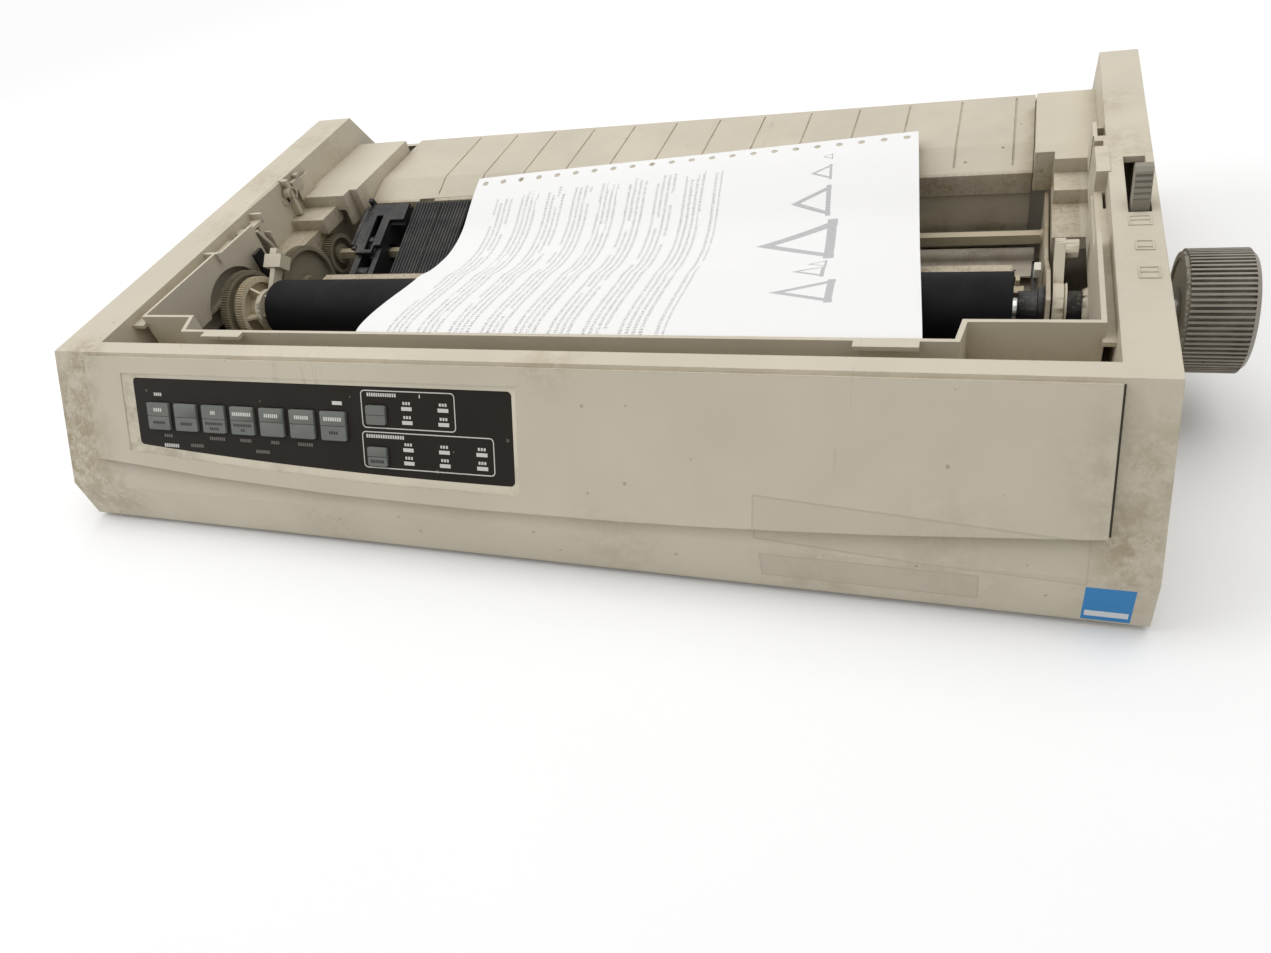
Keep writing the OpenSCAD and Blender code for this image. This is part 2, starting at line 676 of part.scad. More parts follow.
module feet() placed() color([0.12, 0.12, 0.12])
    for (x = [-half_w + 30, half_w - 30], y = [front_y + 30, back_y - 30])
        translate([x, y, -foot_h]) cylinder(r = foot_r, h = foot_h);

// ---------- platen ----------

module platen_roller() placed() color([0.10, 0.10, 0.11]) difference() {
    rod(platen_r, platen_x0, platen_x1, platen_y, platen_z);
    rod(core_r, platen_x0 - 1, platen_x1 + 1, platen_y, platen_z);
}

module platen_shaft() placed() color([0.65, 0.65, 0.67]) {
    rod(shaft_r, frame_l - 1.5, knob_x1 - 4, platen_y, platen_z);
    rod(core_r, platen_x0, platen_x1, platen_y, platen_z);
}

module platen_gear() placed() color([0.86, 0.82, 0.70]) difference() {
    union() {
        gear(platen_teeth, platen_phase, gear_x, gear_x + gear_w, platen_y, platen_z);
        rod(9, gear_x, platen_x0, platen_y, platen_z);
    }
    difference() {
        rod(16.5, gear_x + gear_w - 3, gear_x + gear_w + 1, platen_y, platen_z);
        rod(9, gear_x, platen_x0, platen_y, platen_z);
        for (a = [0:60:179]) translate([0, platen_y, platen_z]) rotate([a + 20, 0, 0])
            block(gear_x, gear_x + gear_w + 2, -18, 18, -1, 1);
    }
    rod(shaft_r, gear_x - 1, platen_x0 + 1, platen_y, platen_z);
}

module feed_gear() placed() color([0.70, 0.64, 0.52]) difference() {
    gear(feed_teeth, 0, feed_x, feed_x + feed_w, platen_y, platen_z);
    rod(shaft_r, feed_x - 1, feed_x + feed_w + 1, platen_y, platen_z);
    gear_holes(6, 15, 4, feed_x, feed_x + feed_w, platen_y, platen_z);
}

module platen_knob() placed() color([0.62, 0.60, 0.54]) {
    rib = 360 / knob_ribs;
    difference() {
        union() {
            translate([0, platen_y, platen_z]) yz(knob_x0 + 1.5, knob_x1 - 2) polygon([
                for (i = [0:knob_ribs - 1]) each [for (k = [[0, 0], [0.42, 0], [0.52, 1], [0.9, 1]])
                    let (r = knob_r - k[1] * 1.3, a = rib * (i + k[0])) [r * cos(a), r * sin(a)]]]);
            rod(knob_r - 1.3, knob_x0, knob_x0 + 1.5 + eps, platen_y, platen_z);
            translate([knob_x1 - 2 - eps, platen_y, platen_z]) rotate([0, 90, 0])
                cylinder(r1 = knob_r - 0.3, r2 = knob_r - 2.3, h = 2 + eps);
        }
        difference() {
            rod(knob_r - 4, knob_x0 - 1, knob_x1 - 4, platen_y, platen_z);
            rod(shaft_r + 4, knob_x0 - 2, knob_x1, platen_y, platen_z);
            for (a = [0:45:179]) translate([0, platen_y, platen_z]) rotate([a, 0, 0])
                block(knob_x0 + 12, knob_x1, -knob_r + 3, knob_r - 3, -0.75, 0.75);
        }
        rod(shaft_r, knob_x0 - 1, knob_x1 - 4, platen_y, platen_z);
    }
}

module platen_bearings() placed() color([0.14, 0.14, 0.15]) {
    difference() {
        union() {
            rod(bearing_r, frame_l - 1, frame_l + 3, platen_y, platen_z);
            rod(flange_r, frame_l + frame_t, frame_l + 3.2, platen_y, platen_z);
        }
        rod(shaft_r + run_fit, frame_l - 2, frame_l + 9, platen_y, platen_z);
    }
    difference() {
        union() {
            rod(bearing_r, platen_x1 + 2, rim_x1 - 2.3, platen_y, platen_z);
            rod(flange_r, frame_r - 3, frame_r, platen_y, platen_z);
        }
        rod(shaft_r + run_fit, platen_x1, rim_x1, platen_y, platen_z);
    }
}

// Lever that turns on a round sleeve with clearance c, arm at angle a from +Y
module lock_lever(x0, x1, a, reach, c) {
    difference() {
        union() {
            rod(bearing_r + 3.5, x0, x1, platen_y, platen_z);
            translate([0, platen_y, platen_z]) rotate([a, 0, 0]) {
                block(x0, x1, 0, reach - 3.5, -3.5, 3.5);
                rod(3.5, x0, x1, reach - 3.5, 0);
            }
        }
        rod(bearing_r + c, x0 - 1, x1 + 1, platen_y, platen_z);
    }
}

module lock_lever_left() placed() color([0.82, 0.78, 0.66]) {
    lock_lever(gear_x + gear_w + 2, gear_x + gear_w + 5.5, 41, 34, run_fit);
    translate([0, platen_y, platen_z]) rotate([41, 0, 0]) {
        block(gear_x + 4, gear_x + gear_w + 10, 26, 34.5, -4.5, 4.5);
        block(gear_x + 6, gear_x + 11, 30, 39, -2.5, 2.5);
    }
}

module lock_lever_right() placed() color([0.82, 0.78, 0.66]) {
    lock_lever(frame_r + 3, frame_r + 7.5, 41, 34, run_fit);
    translate([0, platen_y, platen_z]) rotate([41, 0, 0])
        rod(4.2, frame_r + 7.4, frame_r + 13, 29, 0);
}

gap_lever_y = platen_y + 30.5;
gap_lever_z = platen_z - 19;

module head_gap_lever() placed() color([0.10, 0.10, 0.10]) difference() {
    union() {
        rod(5.5, frame_l + 2.4, frame_l + 4.9, gap_lever_y, gap_lever_z);
        translate([0, gap_lever_y, gap_lever_z]) rotate([3, 0, 0]) {
            block(frame_l + 2.4, frame_l + 4.9, -3, 3, 0, 24);
            block(frame_l + 2.4, frame_l + 4.9, -4, 4, 24, 44);
        }
    }
    rod(3 + run_fit, frame_l + 2, frame_l + 6, gap_lever_y, gap_lever_z);
}

// ---------- feed train and tractors ----------

module idler_gear() placed() color([0.86, 0.82, 0.70]) difference() {
    gear(idler_teeth, idler_phase, gear_x, gear_x + gear_w, idler_y, idler_z);
    rod(4 + run_fit, gear_x - 1, gear_x + gear_w + 2, idler_y, idler_z);
    gear_holes(6, 15, 5.5, gear_x, gear_x + gear_w, idler_y, idler_z);
}

module tractor_gear() placed() color([0.86, 0.82, 0.70]) difference() {
    gear(tractor_teeth, tractor_phase, gear_x, gear_x + gear_w, tractor_y, tractor_z);
    rod(4, gear_x - 1, gear_x + gear_w + 1, tractor_y, tractor_z);
}

module square_bar(x0, x1, side) {
    on_path() block(x0, x1, -side / 2, side / 2, -side / 2, side / 2);
}

module tractor_shaft() placed() color([0.80, 0.76, 0.64]) {
    square_bar(gear_x + gear_w, frame_r - 1, square_side);
    rod(4, frame_l - 1, gear_x + gear_w + eps, tractor_y, tractor_z);
    rod(4, frame_r - 1 - eps, frame_r + frame_t + 0.4, tractor_y, tractor_z);
}

module guide_shaft() placed() color([0.70, 0.70, 0.72])
    rod(guide_r, frame_l - 1, frame_r + frame_t + 0.4, guide_y, guide_z);

plane_w = sprocket_r - 0.5;
cover_w = plane_w + 1;
cover_t = 2.2;
square_reach = square_side * sqrt(2) / 2 + gap + 0.1;

// One tractor body; d = 1 has its wing towards +X
module tractor_body(x, d) {
    module slab(a, b, u0, u1, w0, w1)
        block(min(x + d * a, x + d * b), max(x + d * a, x + d * b), u0, u1, w0, w1);
    difference() {
        on_path() {
            slab(-10, -5, -32, 30, -7, plane_w);
            slab(5, 9, -32, 30, -7, plane_w);
            slab(-10, 9, -32, -17, -7, 3.5);
            slab(-10, 9, 25, 30, -7, plane_w);
            slab(-10, -5, 4, 20, -22, -6);
            slab(5, 9, 4, 20, -22, -6);
            slab(5, 20, 14, 30, plane_w - 2.5, plane_w);
            slab(-12.6, -9.9, -8, -6, plane_w - 4, hinge_w + ear_top);
            slab(-12.6, -9.9, 26, 28, plane_w - 4, hinge_w + ear_top);
            translate([x - d * hinge_out, -8, hinge_w]) rotate([-90, 0, 0]) cylinder(r = 1, h = 36);
            rod(2, min(x - d * 5, x + d * 5), max(x - d * 5, x + d * 5), -24, 8);
        }
        rod(square_reach, x - 30, x + 30, tractor_y, tractor_z);
        rod(guide_r + run_fit, x - 30, x + 30, guide_y, guide_z);
    }
}

hinge_w = cover_w + cover_t / 2;
hinge_out = 13;
ear_top = 1.2;

// Cover of a tractor, hinged along its outer edge, with a slot over the pins
module tractor_cover(x, d) {
    module slab(a, b, u0, u1, w0, w1)
        block(min(x + d * a, x + d * b), max(x + d * a, x + d * b), u0, u1, w0, w1);
    on_path() difference() {
        union() {
            slab(-12.4, 9, -5.5, 25.5, cover_w, cover_w + cover_t);
            slab(-9.1, 9, 25.4, 30, cover_w, cover_w + cover_t);
            slab(-9.1, 4, -12, -5.4, cover_w, cover_w + cover_t);
            slab(8.9, 20, 16, 30, cover_w, cover_w + cover_t);
            slab(-12, -9, 30, 33, cover_w - 3, cover_w + cover_t + 3);
            translate([x - d * hinge_out, -5.5, hinge_w]) rotate([-90, 0, 0]) cylinder(r = 2, h = 31);
        }
        slab(-2.6, 2.6, -9, 20, cover_w - 1, cover_w + 4);
        translate([x - d * hinge_out, -10, hinge_w]) rotate([-90, 0, 0]) cylinder(r = 1 + run_fit, h = 50);
    }
}

// Cam lever that clamps a tractor to its guide shaft
module tractor_lock(x) {
    on_path() difference() {
        union() {
            rod(4.2, x - 4.4, x + 4.4, -24, 8);
            block(x - 4.4, x + 4.4, -37, -24, 8, 11);
        }
        rod(2 + run_fit, x - 6, x + 6, -24, 8);
    }
}

// Pin wheel on the square shaft
module sprocket(x) {
    on_path() difference() {
        union() {
            rod(sprocket_r, x - 3, x + 3, 0, 0);
            rod(7.2, x - 4.6, x + 4.6, 0, 0);
            for (i = [0:sprocket_pins - 1]) translate([x, 0, 0])
                rotate([360 * i / sprocket_pins, 0, 0]) cylinder(r = 1.8, h = sprocket_r + 1.9);
        }
        block(x - 6, x + 6, -square_side / 2 - 0.1, square_side / 2 + 0.1,
            -square_side / 2 - 0.1, square_side / 2 + 0.1);
    }
}

module tractor_left() placed() color([0.11, 0.11, 0.12]) tractor_body(tractor_left_x, 1);
module tractor_left_cover() placed() color([0.13, 0.13, 0.14]) tractor_cover(tractor_left_x, 1);
module tractor_left_lock() placed() color([0.16, 0.16, 0.16]) tractor_lock(tractor_left_x);
module sprocket_left() placed() color([0.15, 0.15, 0.16]) sprocket(tractor_left_x);
module tractor_right() placed() color([0.11, 0.11, 0.12]) tractor_body(tractor_right_x, -1);
module tractor_right_cover() placed() color([0.13, 0.13, 0.14]) tractor_cover(tractor_right_x, -1);
module tractor_right_lock() placed() color([0.16, 0.16, 0.16]) tractor_lock(tractor_right_x);
module sprocket_right() placed() color([0.15, 0.15, 0.16]) sprocket(tractor_right_x);

sheet_x0 = tractor_left_x + 23;
sheet_x1 = sheet_x0 + 42;

module sheet_guide() placed() color([0.12, 0.12, 0.13]) difference() {
    on_path() {
        block(sheet_x0, sheet_x1, -32, 33, plane_w - 3.2, plane_w - 1.6);
        for (x = [sheet_x0, sheet_x0 + 22]) {
            block(x, x + 20, -32, 33, plane_w - 1.7, plane_w - 0.8);
            for (i = [0:8]) block(x + i * 2.3, x + i * 2.3 + 1, -32, 33, plane_w - 0.9, plane_w);
        }
        for (x = [sheet_x0, sheet_x1 - 3]) {
            block(x, x + 3, -12, 27, -8, plane_w - 3);
            block(x, x + 3, 4, 20, -22, -7);
        }
    }
    rod(square_reach, sheet_x0 - 1, sheet_x1 + 1, tractor_y, tractor_z);
    rod(guide_r + run_fit, sheet_x0 - 1, sheet_x1 + 1, guide_y, guide_z);
}

pan_r = platen_r + 2;
pan_t = 1.2;

module paper_pan() placed() color([0.80, 0.76, 0.66]) {
    difference() {
        rod(pan_r + pan_t, platen_x0 + 1, platen_x1 - 1, platen_y, platen_z);
        rod(pan_r, platen_x0, platen_x1, platen_y, platen_z);
        block(platen_x0, platen_x1, platen_y - 30, platen_y, platen_z - 9, platen_z + 30);
        block(platen_x0, platen_x1, platen_y - 1, platen_y + 30, platen_z - 4, platen_z + 30);
        for (x = pinch_x, a = [pinch_front_dir, pinch_rear_dir])
            block(x - 17, x + 17, platen_y + pinch_dist * cos(a) - 8, platen_y + pinch_dist * cos(a) + 8,
                platen_z + pinch_dist * sin(a) - 8, platen_z + pinch_dist * sin(a) + 14);
    }
    block(platen_x0 + 1, platen_x1 - 1, platen_y + pan_r - 0.2, tractor_y - 40, platen_z - 5.2, platen_z - 4);
    block(platen_x0 + 1, platen_x1 - 1, tractor_y - 41, tractor_y - 39.8, platen_z - 13, platen_z - 4);
    for (x = [-100, 0, 100]) difference() {
        block(x - 2, x + 2, platen_y - 20, platen_y + 20, base_top, platen_z - 13);
        rod(pan_r + pan_t / 2, x - 3, x + 3, platen_y, platen_z);
        for (a = [pinch_front_dir, pinch_rear_dir]) rod(pinch_shaft_r + run_fit, x - 3, x + 3,
            platen_y + pinch_dist * cos(a), platen_z + pinch_dist * sin(a));
    }
}

module pinch_rollers(a) {
    y = platen_y + pinch_dist * cos(a);
    z = platen_z + pinch_dist * sin(a);
    rod(pinch_shaft_r, pinch_x[0] - 18, pinch_x[3] + 18, y, z);
    for (x = pinch_x) rod(pinch_r, x - 15, x + 15, y, z);
}

module pinch_rollers_front() placed() color([0.20, 0.20, 0.20]) pinch_rollers(pinch_front_dir);
module pinch_rollers_rear() placed() color([0.20, 0.20, 0.20]) pinch_rollers(pinch_rear_dir);

module feed_motor() placed() color([0.35, 0.35, 0.37]) difference() {
    union() {
        rod(feed_motor_r, frame_l - 24, frame_l, feed_motor_y, feed_motor_z);
        rod(6, frame_l - eps, frame_l + 1.5, feed_motor_y, feed_motor_z);
    }
    rod(2 + run_fit, frame_l - 20, frame_l + 2, feed_motor_y, feed_motor_z);
}

module motor_pinion() placed() color([0.75, 0.68, 0.40]) {
    gear(feed_pinion_teeth, feed_pinion_phase, feed_x, feed_x + feed_w, feed_motor_y, feed_motor_z);
    rod(2, frame_l - 18, feed_x + eps, feed_motor_y, feed_motor_z);
}

// ---------- carriage ----------

module carriage_rod() placed() color([0.72, 0.72, 0.74])
    rod(rod_r, frame_l, frame_r + frame_t, rod_y, rod_z);

rack_x0 = frame_l + frame_t;
rack_x1 = frame_r;
rack_pitch = PI * tooth_m;

// Rack tooth space: widths at tip and root for a 20 degree flank
module space_rack() placed() color([0.84, 0.80, 0.68]) {
    half_tip = rack_pitch / 4 - 0.95 * tan(20) - 0.05;
    half_root = rack_pitch / 4 + 1.2 * tan(20) - 0.05;
    count = floor((rack_x1 - rack_x0 - 8) / rack_pitch);
    first = carriage_x - floor((carriage_x - rack_x0 - 4) / rack_pitch) * rack_pitch;
    translate([0, 0, rack_z0]) linear_extrude(rack_z1 - rack_z0) polygon([
        [rack_x0, rack_pitch_y - 12], [rack_x0, rack_pitch_y - 1.2],
        for (i = [0:count - 1]) each let (c = first + i * rack_pitch) [
            [c - half_root, rack_pitch_y - 1.2], [c - half_tip, rack_pitch_y + 0.95],
            [c + half_tip, rack_pitch_y + 0.95], [c + half_root, rack_pitch_y - 1.2]],
        [rack_x1, rack_pitch_y - 1.2], [rack_x1, rack_pitch_y - 12]]);
}

module carriage() placed() color([0.30, 0.30, 0.32]) {
    x0 = carriage_x - carriage_w / 2;
    x1 = carriage_x + carriage_w / 2;
    saddle_y0 = platen_y - 58;
    saddle_y1 = platen_y - 30;
    difference() {
        union() {
            block(x0, x1, rod_y - 0.8 * rod_r - 1.5, rod_y + rod_r + 5, rod_z - rod_r - 4, deck_z0 + eps);
            block(x0, x1, rack_pitch_y - 12, saddle_y1, deck_z0, deck_z1);
            for (s = [-1, 1]) difference() {
                translate([carriage_x + s * 12, (saddle_y0 + saddle_y1) / 2, deck_z1 + 3 - eps])
                    cube([5, saddle_y1 - saddle_y0, 6], center = true);
                translate([carriage_x, saddle_y0 - 1, platen_z]) rotate([-90, 0, 0])
                    cylinder(r = head_r + gap, h = saddle_y1 - saddle_y0 + 2);
            }
            block(x0, x1, rack_pitch_y - 12, rack_pitch_y - 8.5, rack_z1 + gap, deck_z0 + eps);
        }
        rod(rod_r + run_fit, x0 - 1, x1 + 1, rod_y, rod_z);
        block(carriage_x - space_motor_r - 1, carriage_x + space_motor_r + 1, rack_pitch_y - 20,
            rod_y - rod_r - 0.9, rod_z - 20, deck_z0);
    }
}

module print_head() placed() color([0.25, 0.25, 0.27]) translate([carriage_x, 0, platen_z]) {
    difference() {
        translate([0, platen_y - 58, 0]) rotate([-90, 0, 0]) cylinder(r = head_r, h = 29);
        for (i = [0:4]) translate([0, platen_y - 55 + 4 * i, 0]) rotate([-90, 0, 0]) difference() {
            cylinder(r = head_r + 1, h = 2);
            translate([0, 0, -1]) cylinder(r = head_r - 3, h = 4);
            translate([-20, -deck_z1 + platen_z - 7, -1]) cube([40, 20, 4]);
        }
    }
    block(-9, 9, platen_y - 57, platen_y - 31, deck_z1 - platen_z, deck_z1 - platen_z + 8);
    block(-6, 6, platen_y - 30, platen_y - platen_r - 0.6, -4.5, 4.5);
}

module space_motor() placed() color([0.40, 0.40, 0.42]) difference() {
    translate([carriage_x, space_y, rack_z1 + gap + 0.2]) cylinder(r = space_motor_r,
        h = deck_z0 - rack_z1 - gap - 0.2);
    translate([carriage_x, space_y, 0]) cylinder(r = 1.5 + run_fit, h = 24);
}

module space_pinion() placed() color([0.75, 0.68, 0.40]) translate([carriage_x, space_y, 0]) {
    translate([0, 0, rack_z0 + 1]) linear_extrude(rack_z1 - rack_z0 - 1.2)
        rotate(-90 + 180 / space_teeth) polygon(gear_points(space_teeth));
    translate([0, 0, rack_z1 - 0.3]) cylinder(r = 1.5, h = 9);
}

// ---------- selector lever ----------

module selector_lever() placed() color([0.80, 0.77, 0.68]) difference() {
    union() {
        yz(lever_x0, lever_x0 + lever_w) polygon([[lever_y - 6, lever_z + 4],
            [slot_y0 + 0.8, rail_back_z - 3], [slot_y0 + 1.2, rail_back_z + 2],
            [slot_y0 + 6.4, rail_back_z + 12.6], [slot_y0 + 8.4, rail_back_z + 14],
            [slot_y0 + 13, rail_back_z + 13.6], [slot_y0 + 15, rail_back_z + 11.5],
            [slot_y0 + 10.6, rail_back_z + 2], [slot_y0 + 9.6, rail_back_z - 3],
            [lever_y + 6, lever_z + 4]]);
        rod(8, lever_x0, lever_x0 + lever_w, lever_y, lever_z);
    }
    rod(guide_r + run_fit, lever_x0 - 1, lever_x0 + lever_w + 1, lever_y, lever_z);
    for (i = [0:4]) translate([lever_x0 - 1, slot_y0 + 0.9 + i * 1.1, rail_back_z + 2 + i * 2.2])
        rotate([-26, 0, 0]) cube([lever_w + 2, 0.7, 0.9]);
}

// ---------- electrics ----------

inlet_x = -190;
inlet_w = 28;
inlet_h = 20;
inlet_z = 14;
plug_x = 100;
plug_w = 64;
plug_h = 13;
plug_z = 12;
switch_w = 14;
switch_h = 20;
switch_wall = 1.4;
switch_x = inlet_x + inlet_w / 2 + switch_wall + switch_w / 2;
switch_z = inlet_z + inlet_h / 2;
rocker_y = back_y - 6.6;
rocker_pin_r = 1.5;
supply_w = 95;
supply_l = 42;
supply_h = 40;
supply_x0 = switch_x + switch_w / 2 + 12;
supply_x1 = supply_x0 + supply_w;
supply_y1 = back_y - 8;
supply_y0 = supply_y1 - supply_l;
supply_z = 6;
board_z = 9;
board_l = 38;
board_x0 = supply_x1 + 10;
board_x1 = half_w - 51;
board_y1 = back_y - 7.5;
board_y0 = board_y1 - board_l;
board_posts = [for (x = [board_x0 + 5, board_x1 - 5], y = [board_y0 + 5, board_y1 - 5]) [x, y]];

module main_board() placed() color([0.16, 0.38, 0.22]) {
    block(board_x0, board_x1, board_y0, board_y1, board_z, board_z + 1.6);
    for (i = [0:3]) block(board_x0 + 15 + 42 * i, board_x0 + 45 + 42 * i, board_y0 + 6,
        board_y0 + 20, board_z + 1.5, board_z + 5);
    for (i = [0:2]) translate([board_x1 - 20 - 24 * i, board_y0 + 12, board_z + 1.5])
        cylinder(r = 7, h = 18);
}

module power_supply() placed() color([0.30, 0.30, 0.32]) {
    block(supply_x0, supply_x1, supply_y0, supply_y1, supply_z, supply_z + 2);
    block(supply_x0 + 18, supply_x1 - 18, supply_y0 + 3, supply_y1 - 3, supply_z + 2 - eps,
        supply_z + supply_h);
    block(supply_x0 + 8, supply_x1 - 8, supply_y0 + 7, supply_y1 - 7, supply_z + 2 - eps,
        supply_z + supply_h - 9);
}

// Mains inlet and the rocker's housing in one moulding, grown by g, from y0 to y1
module entry_box(g, y0, y1)
    block(inlet_x - inlet_w / 2 - g, switch_x + switch_w / 2 + switch_wall + g, y0, y1,
        switch_z - switch_h / 2 - switch_wall - g, switch_z + switch_h / 2 + switch_wall + g);

module power_inlet() placed() color([0.08, 0.08, 0.08]) {
    difference() {
        union() {
            entry_box(0, back_y - 15, back_y);
            entry_box(2.5, back_y - wall - 1.5, back_y - wall);
        }
        block(inlet_x - inlet_w / 2 + 2, inlet_x + inlet_w / 2 - 2, back_y - 12, back_y + 1,
            inlet_z + 2.5, inlet_z + inlet_h - 2.5);
        block(switch_x - switch_w / 2, switch_x + switch_w / 2, back_y - 12, back_y + 1,
            switch_z - switch_h / 2, switch_z + switch_h / 2);
        rod(rocker_pin_r + run_fit, switch_x - switch_w / 2 - 1.1, switch_x + switch_w / 2 + 1.1,
            rocker_y, switch_z);
    }
    for (x = [-7, 0, 7]) block(inlet_x + x - 1, inlet_x + x + 1, back_y - 13, back_y - 3,
        inlet_z + 8, inlet_z + 12);
}

module interface_connector() placed() color([0.70, 0.70, 0.72]) {
    difference() {
        block(plug_x - plug_w / 2, plug_x + plug_w / 2, back_y - 14, back_y, plug_z, plug_z + plug_h);
        block(plug_x - plug_w / 2 + 4, plug_x + plug_w / 2 - 4, back_y - 9, back_y + 1,
            plug_z + 2.5, plug_z + plug_h - 2.5);
    }
    block(plug_x - plug_w / 2 + 8, plug_x + plug_w / 2 - 8, back_y - 10, back_y - 2,
        plug_z + plug_h / 2 - 1.2, plug_z + plug_h / 2 + 1.2);
    block(plug_x - plug_w / 2 - 4, plug_x + plug_w / 2 + 4, back_y - wall - 1.5, back_y - wall,
        plug_z - 1, plug_z + plug_h + 1);
}

module power_switch() placed() color([0.10, 0.10, 0.10])
    translate([switch_x, rocker_y, switch_z]) rotate([rocker_tilt, 0, 0]) {
        yz(-switch_w / 2 + gap, switch_w / 2 - gap) polygon([[-4, -6], [-4, 6],
            [5.2, switch_h / 2 - 1.6], [3.4, 0], [5.2, -switch_h / 2 + 1.6]]);
        rod(rocker_pin_r, -switch_w / 2 - 1, switch_w / 2 + 1, 0, 0);
    }
rocker_tilt = 7;

// ---------- paper ----------

// Hand-chosen stations along the sheet: y from the platen's axis, z
paper_line = [[152, 71], [136, 70.6], [120, 70], [97, 64.5], [75, 58], [53, 56.5], [34, 59],
    [20, 62.4], [10, 65.9], [0, 68.1], [-10, 70.4], [-33, 76], [-53, 80], [-66, 81],
    [-71.4, 78], [-73, 70], [-73.6, 50], [-73.6, 34]];
// Back left corner of the form, and the lower edge of its front drop
paper_x0 = tractor_left_x + 72.4;
paper_y1 = guide_front_y + 1.9;
paper_low_z = 36;

function spline(p, i, t) = let (a = p[max(i - 1, 0)], b = p[i], c = p[i + 1],
    d = p[min(i + 2, len(p) - 1)])
    0.5 * ((2 * b) + (c - a) * t + (2 * a - 5 * b + 4 * c - d) * t * t
        + (3 * b - a - 3 * c + d) * t * t * t);
function smooth(p, n) = [for (i = [0:len(p) - 2], k = [0:n - 1]) spline(p, i, k / n), p[len(p) - 1]];
function side_step(p, i, w) = let (a = p[max(i - 1, 0)], b = p[min(i + 1, len(p) - 1)],
    t = (b - a) / norm(b - a)) p[i] + w * [t[1], -t[0]];
function ribbon(p, w) = concat([for (i = [0:len(p) - 1]) side_step(p, i, w / 2)],
    [for (i = [len(p) - 1:-1:0]) side_step(p, i, -w / 2)]);

module paper_sheet() placed() color([0.96, 0.96, 0.95]) difference() {
    intersection() {
        translate([0, platen_y, 0]) yz(paper_x0 - 30, paper_x0 + paper_w + 30)
            polygon(ribbon(smooth(paper_line, 4), paper_t));
        translate([paper_x0, paper_y1, 0]) rotate([0, 0, paper_skew]) translate([0, -260, 30])
            cube([paper_w, 260, 60]);
    }
    translate([paper_x0 + 19.6, platen_y, paper_low_z]) rotate([0, -atan(sin(paper_skew)), 0])
        translate([-60, -81, -60]) cube([paper_w + 120, 20, 60]);
    translate([paper_x0, paper_y1, 60]) rotate([0, 0, paper_skew])
        for (i = [0:floor(paper_w / pin_pitch) - 1]) translate([pin_pitch * (i + 0.5), -6.35, 0])
            cylinder(r = 2, h = 20);
}

// ---------- nodes ----------

lower_case();
upper_case();
rear_guide();
panel_overlay();
panel_leds();
panel_board();
large_key(0);  // key_1
large_key(1);  // key_2
large_key(2);  // key_3
large_key(3);  // key_4
large_key(4);  // key_5
large_key(5);  // key_6
large_key(6);  // key_7
small_key(0);  // key_small_1
small_key(1);  // key_small_2
side_frame_left();
side_frame_right();
chassis_base();
platen_roller();
platen_shaft();
platen_gear();
feed_gear();
platen_knob();
platen_bearings();
lock_lever_left();
lock_lever_right();
idler_gear();
tractor_shaft();
tractor_gear();
guide_shaft();
tractor_left();
tractor_left_cover();
tractor_left_lock();
sprocket_left();
tractor_right();
tractor_right_cover();
tractor_right_lock();
sprocket_right();
sheet_guide();
paper_pan();
pinch_rollers_front();
pinch_rollers_rear();
feed_motor();
motor_pinion();
carriage_rod();
space_rack();
carriage();
print_head();
space_motor();
space_pinion();
head_gap_lever();
selector_lever();
main_board();
power_supply();
power_inlet();
interface_connector();
power_switch();
feet();
screws();
paper_sheet();
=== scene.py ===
import json
import math

import bmesh
import bpy
from bpy.props import FloatProperty, FloatVectorProperty, IntProperty, PointerProperty
from mathutils import Matrix, Vector

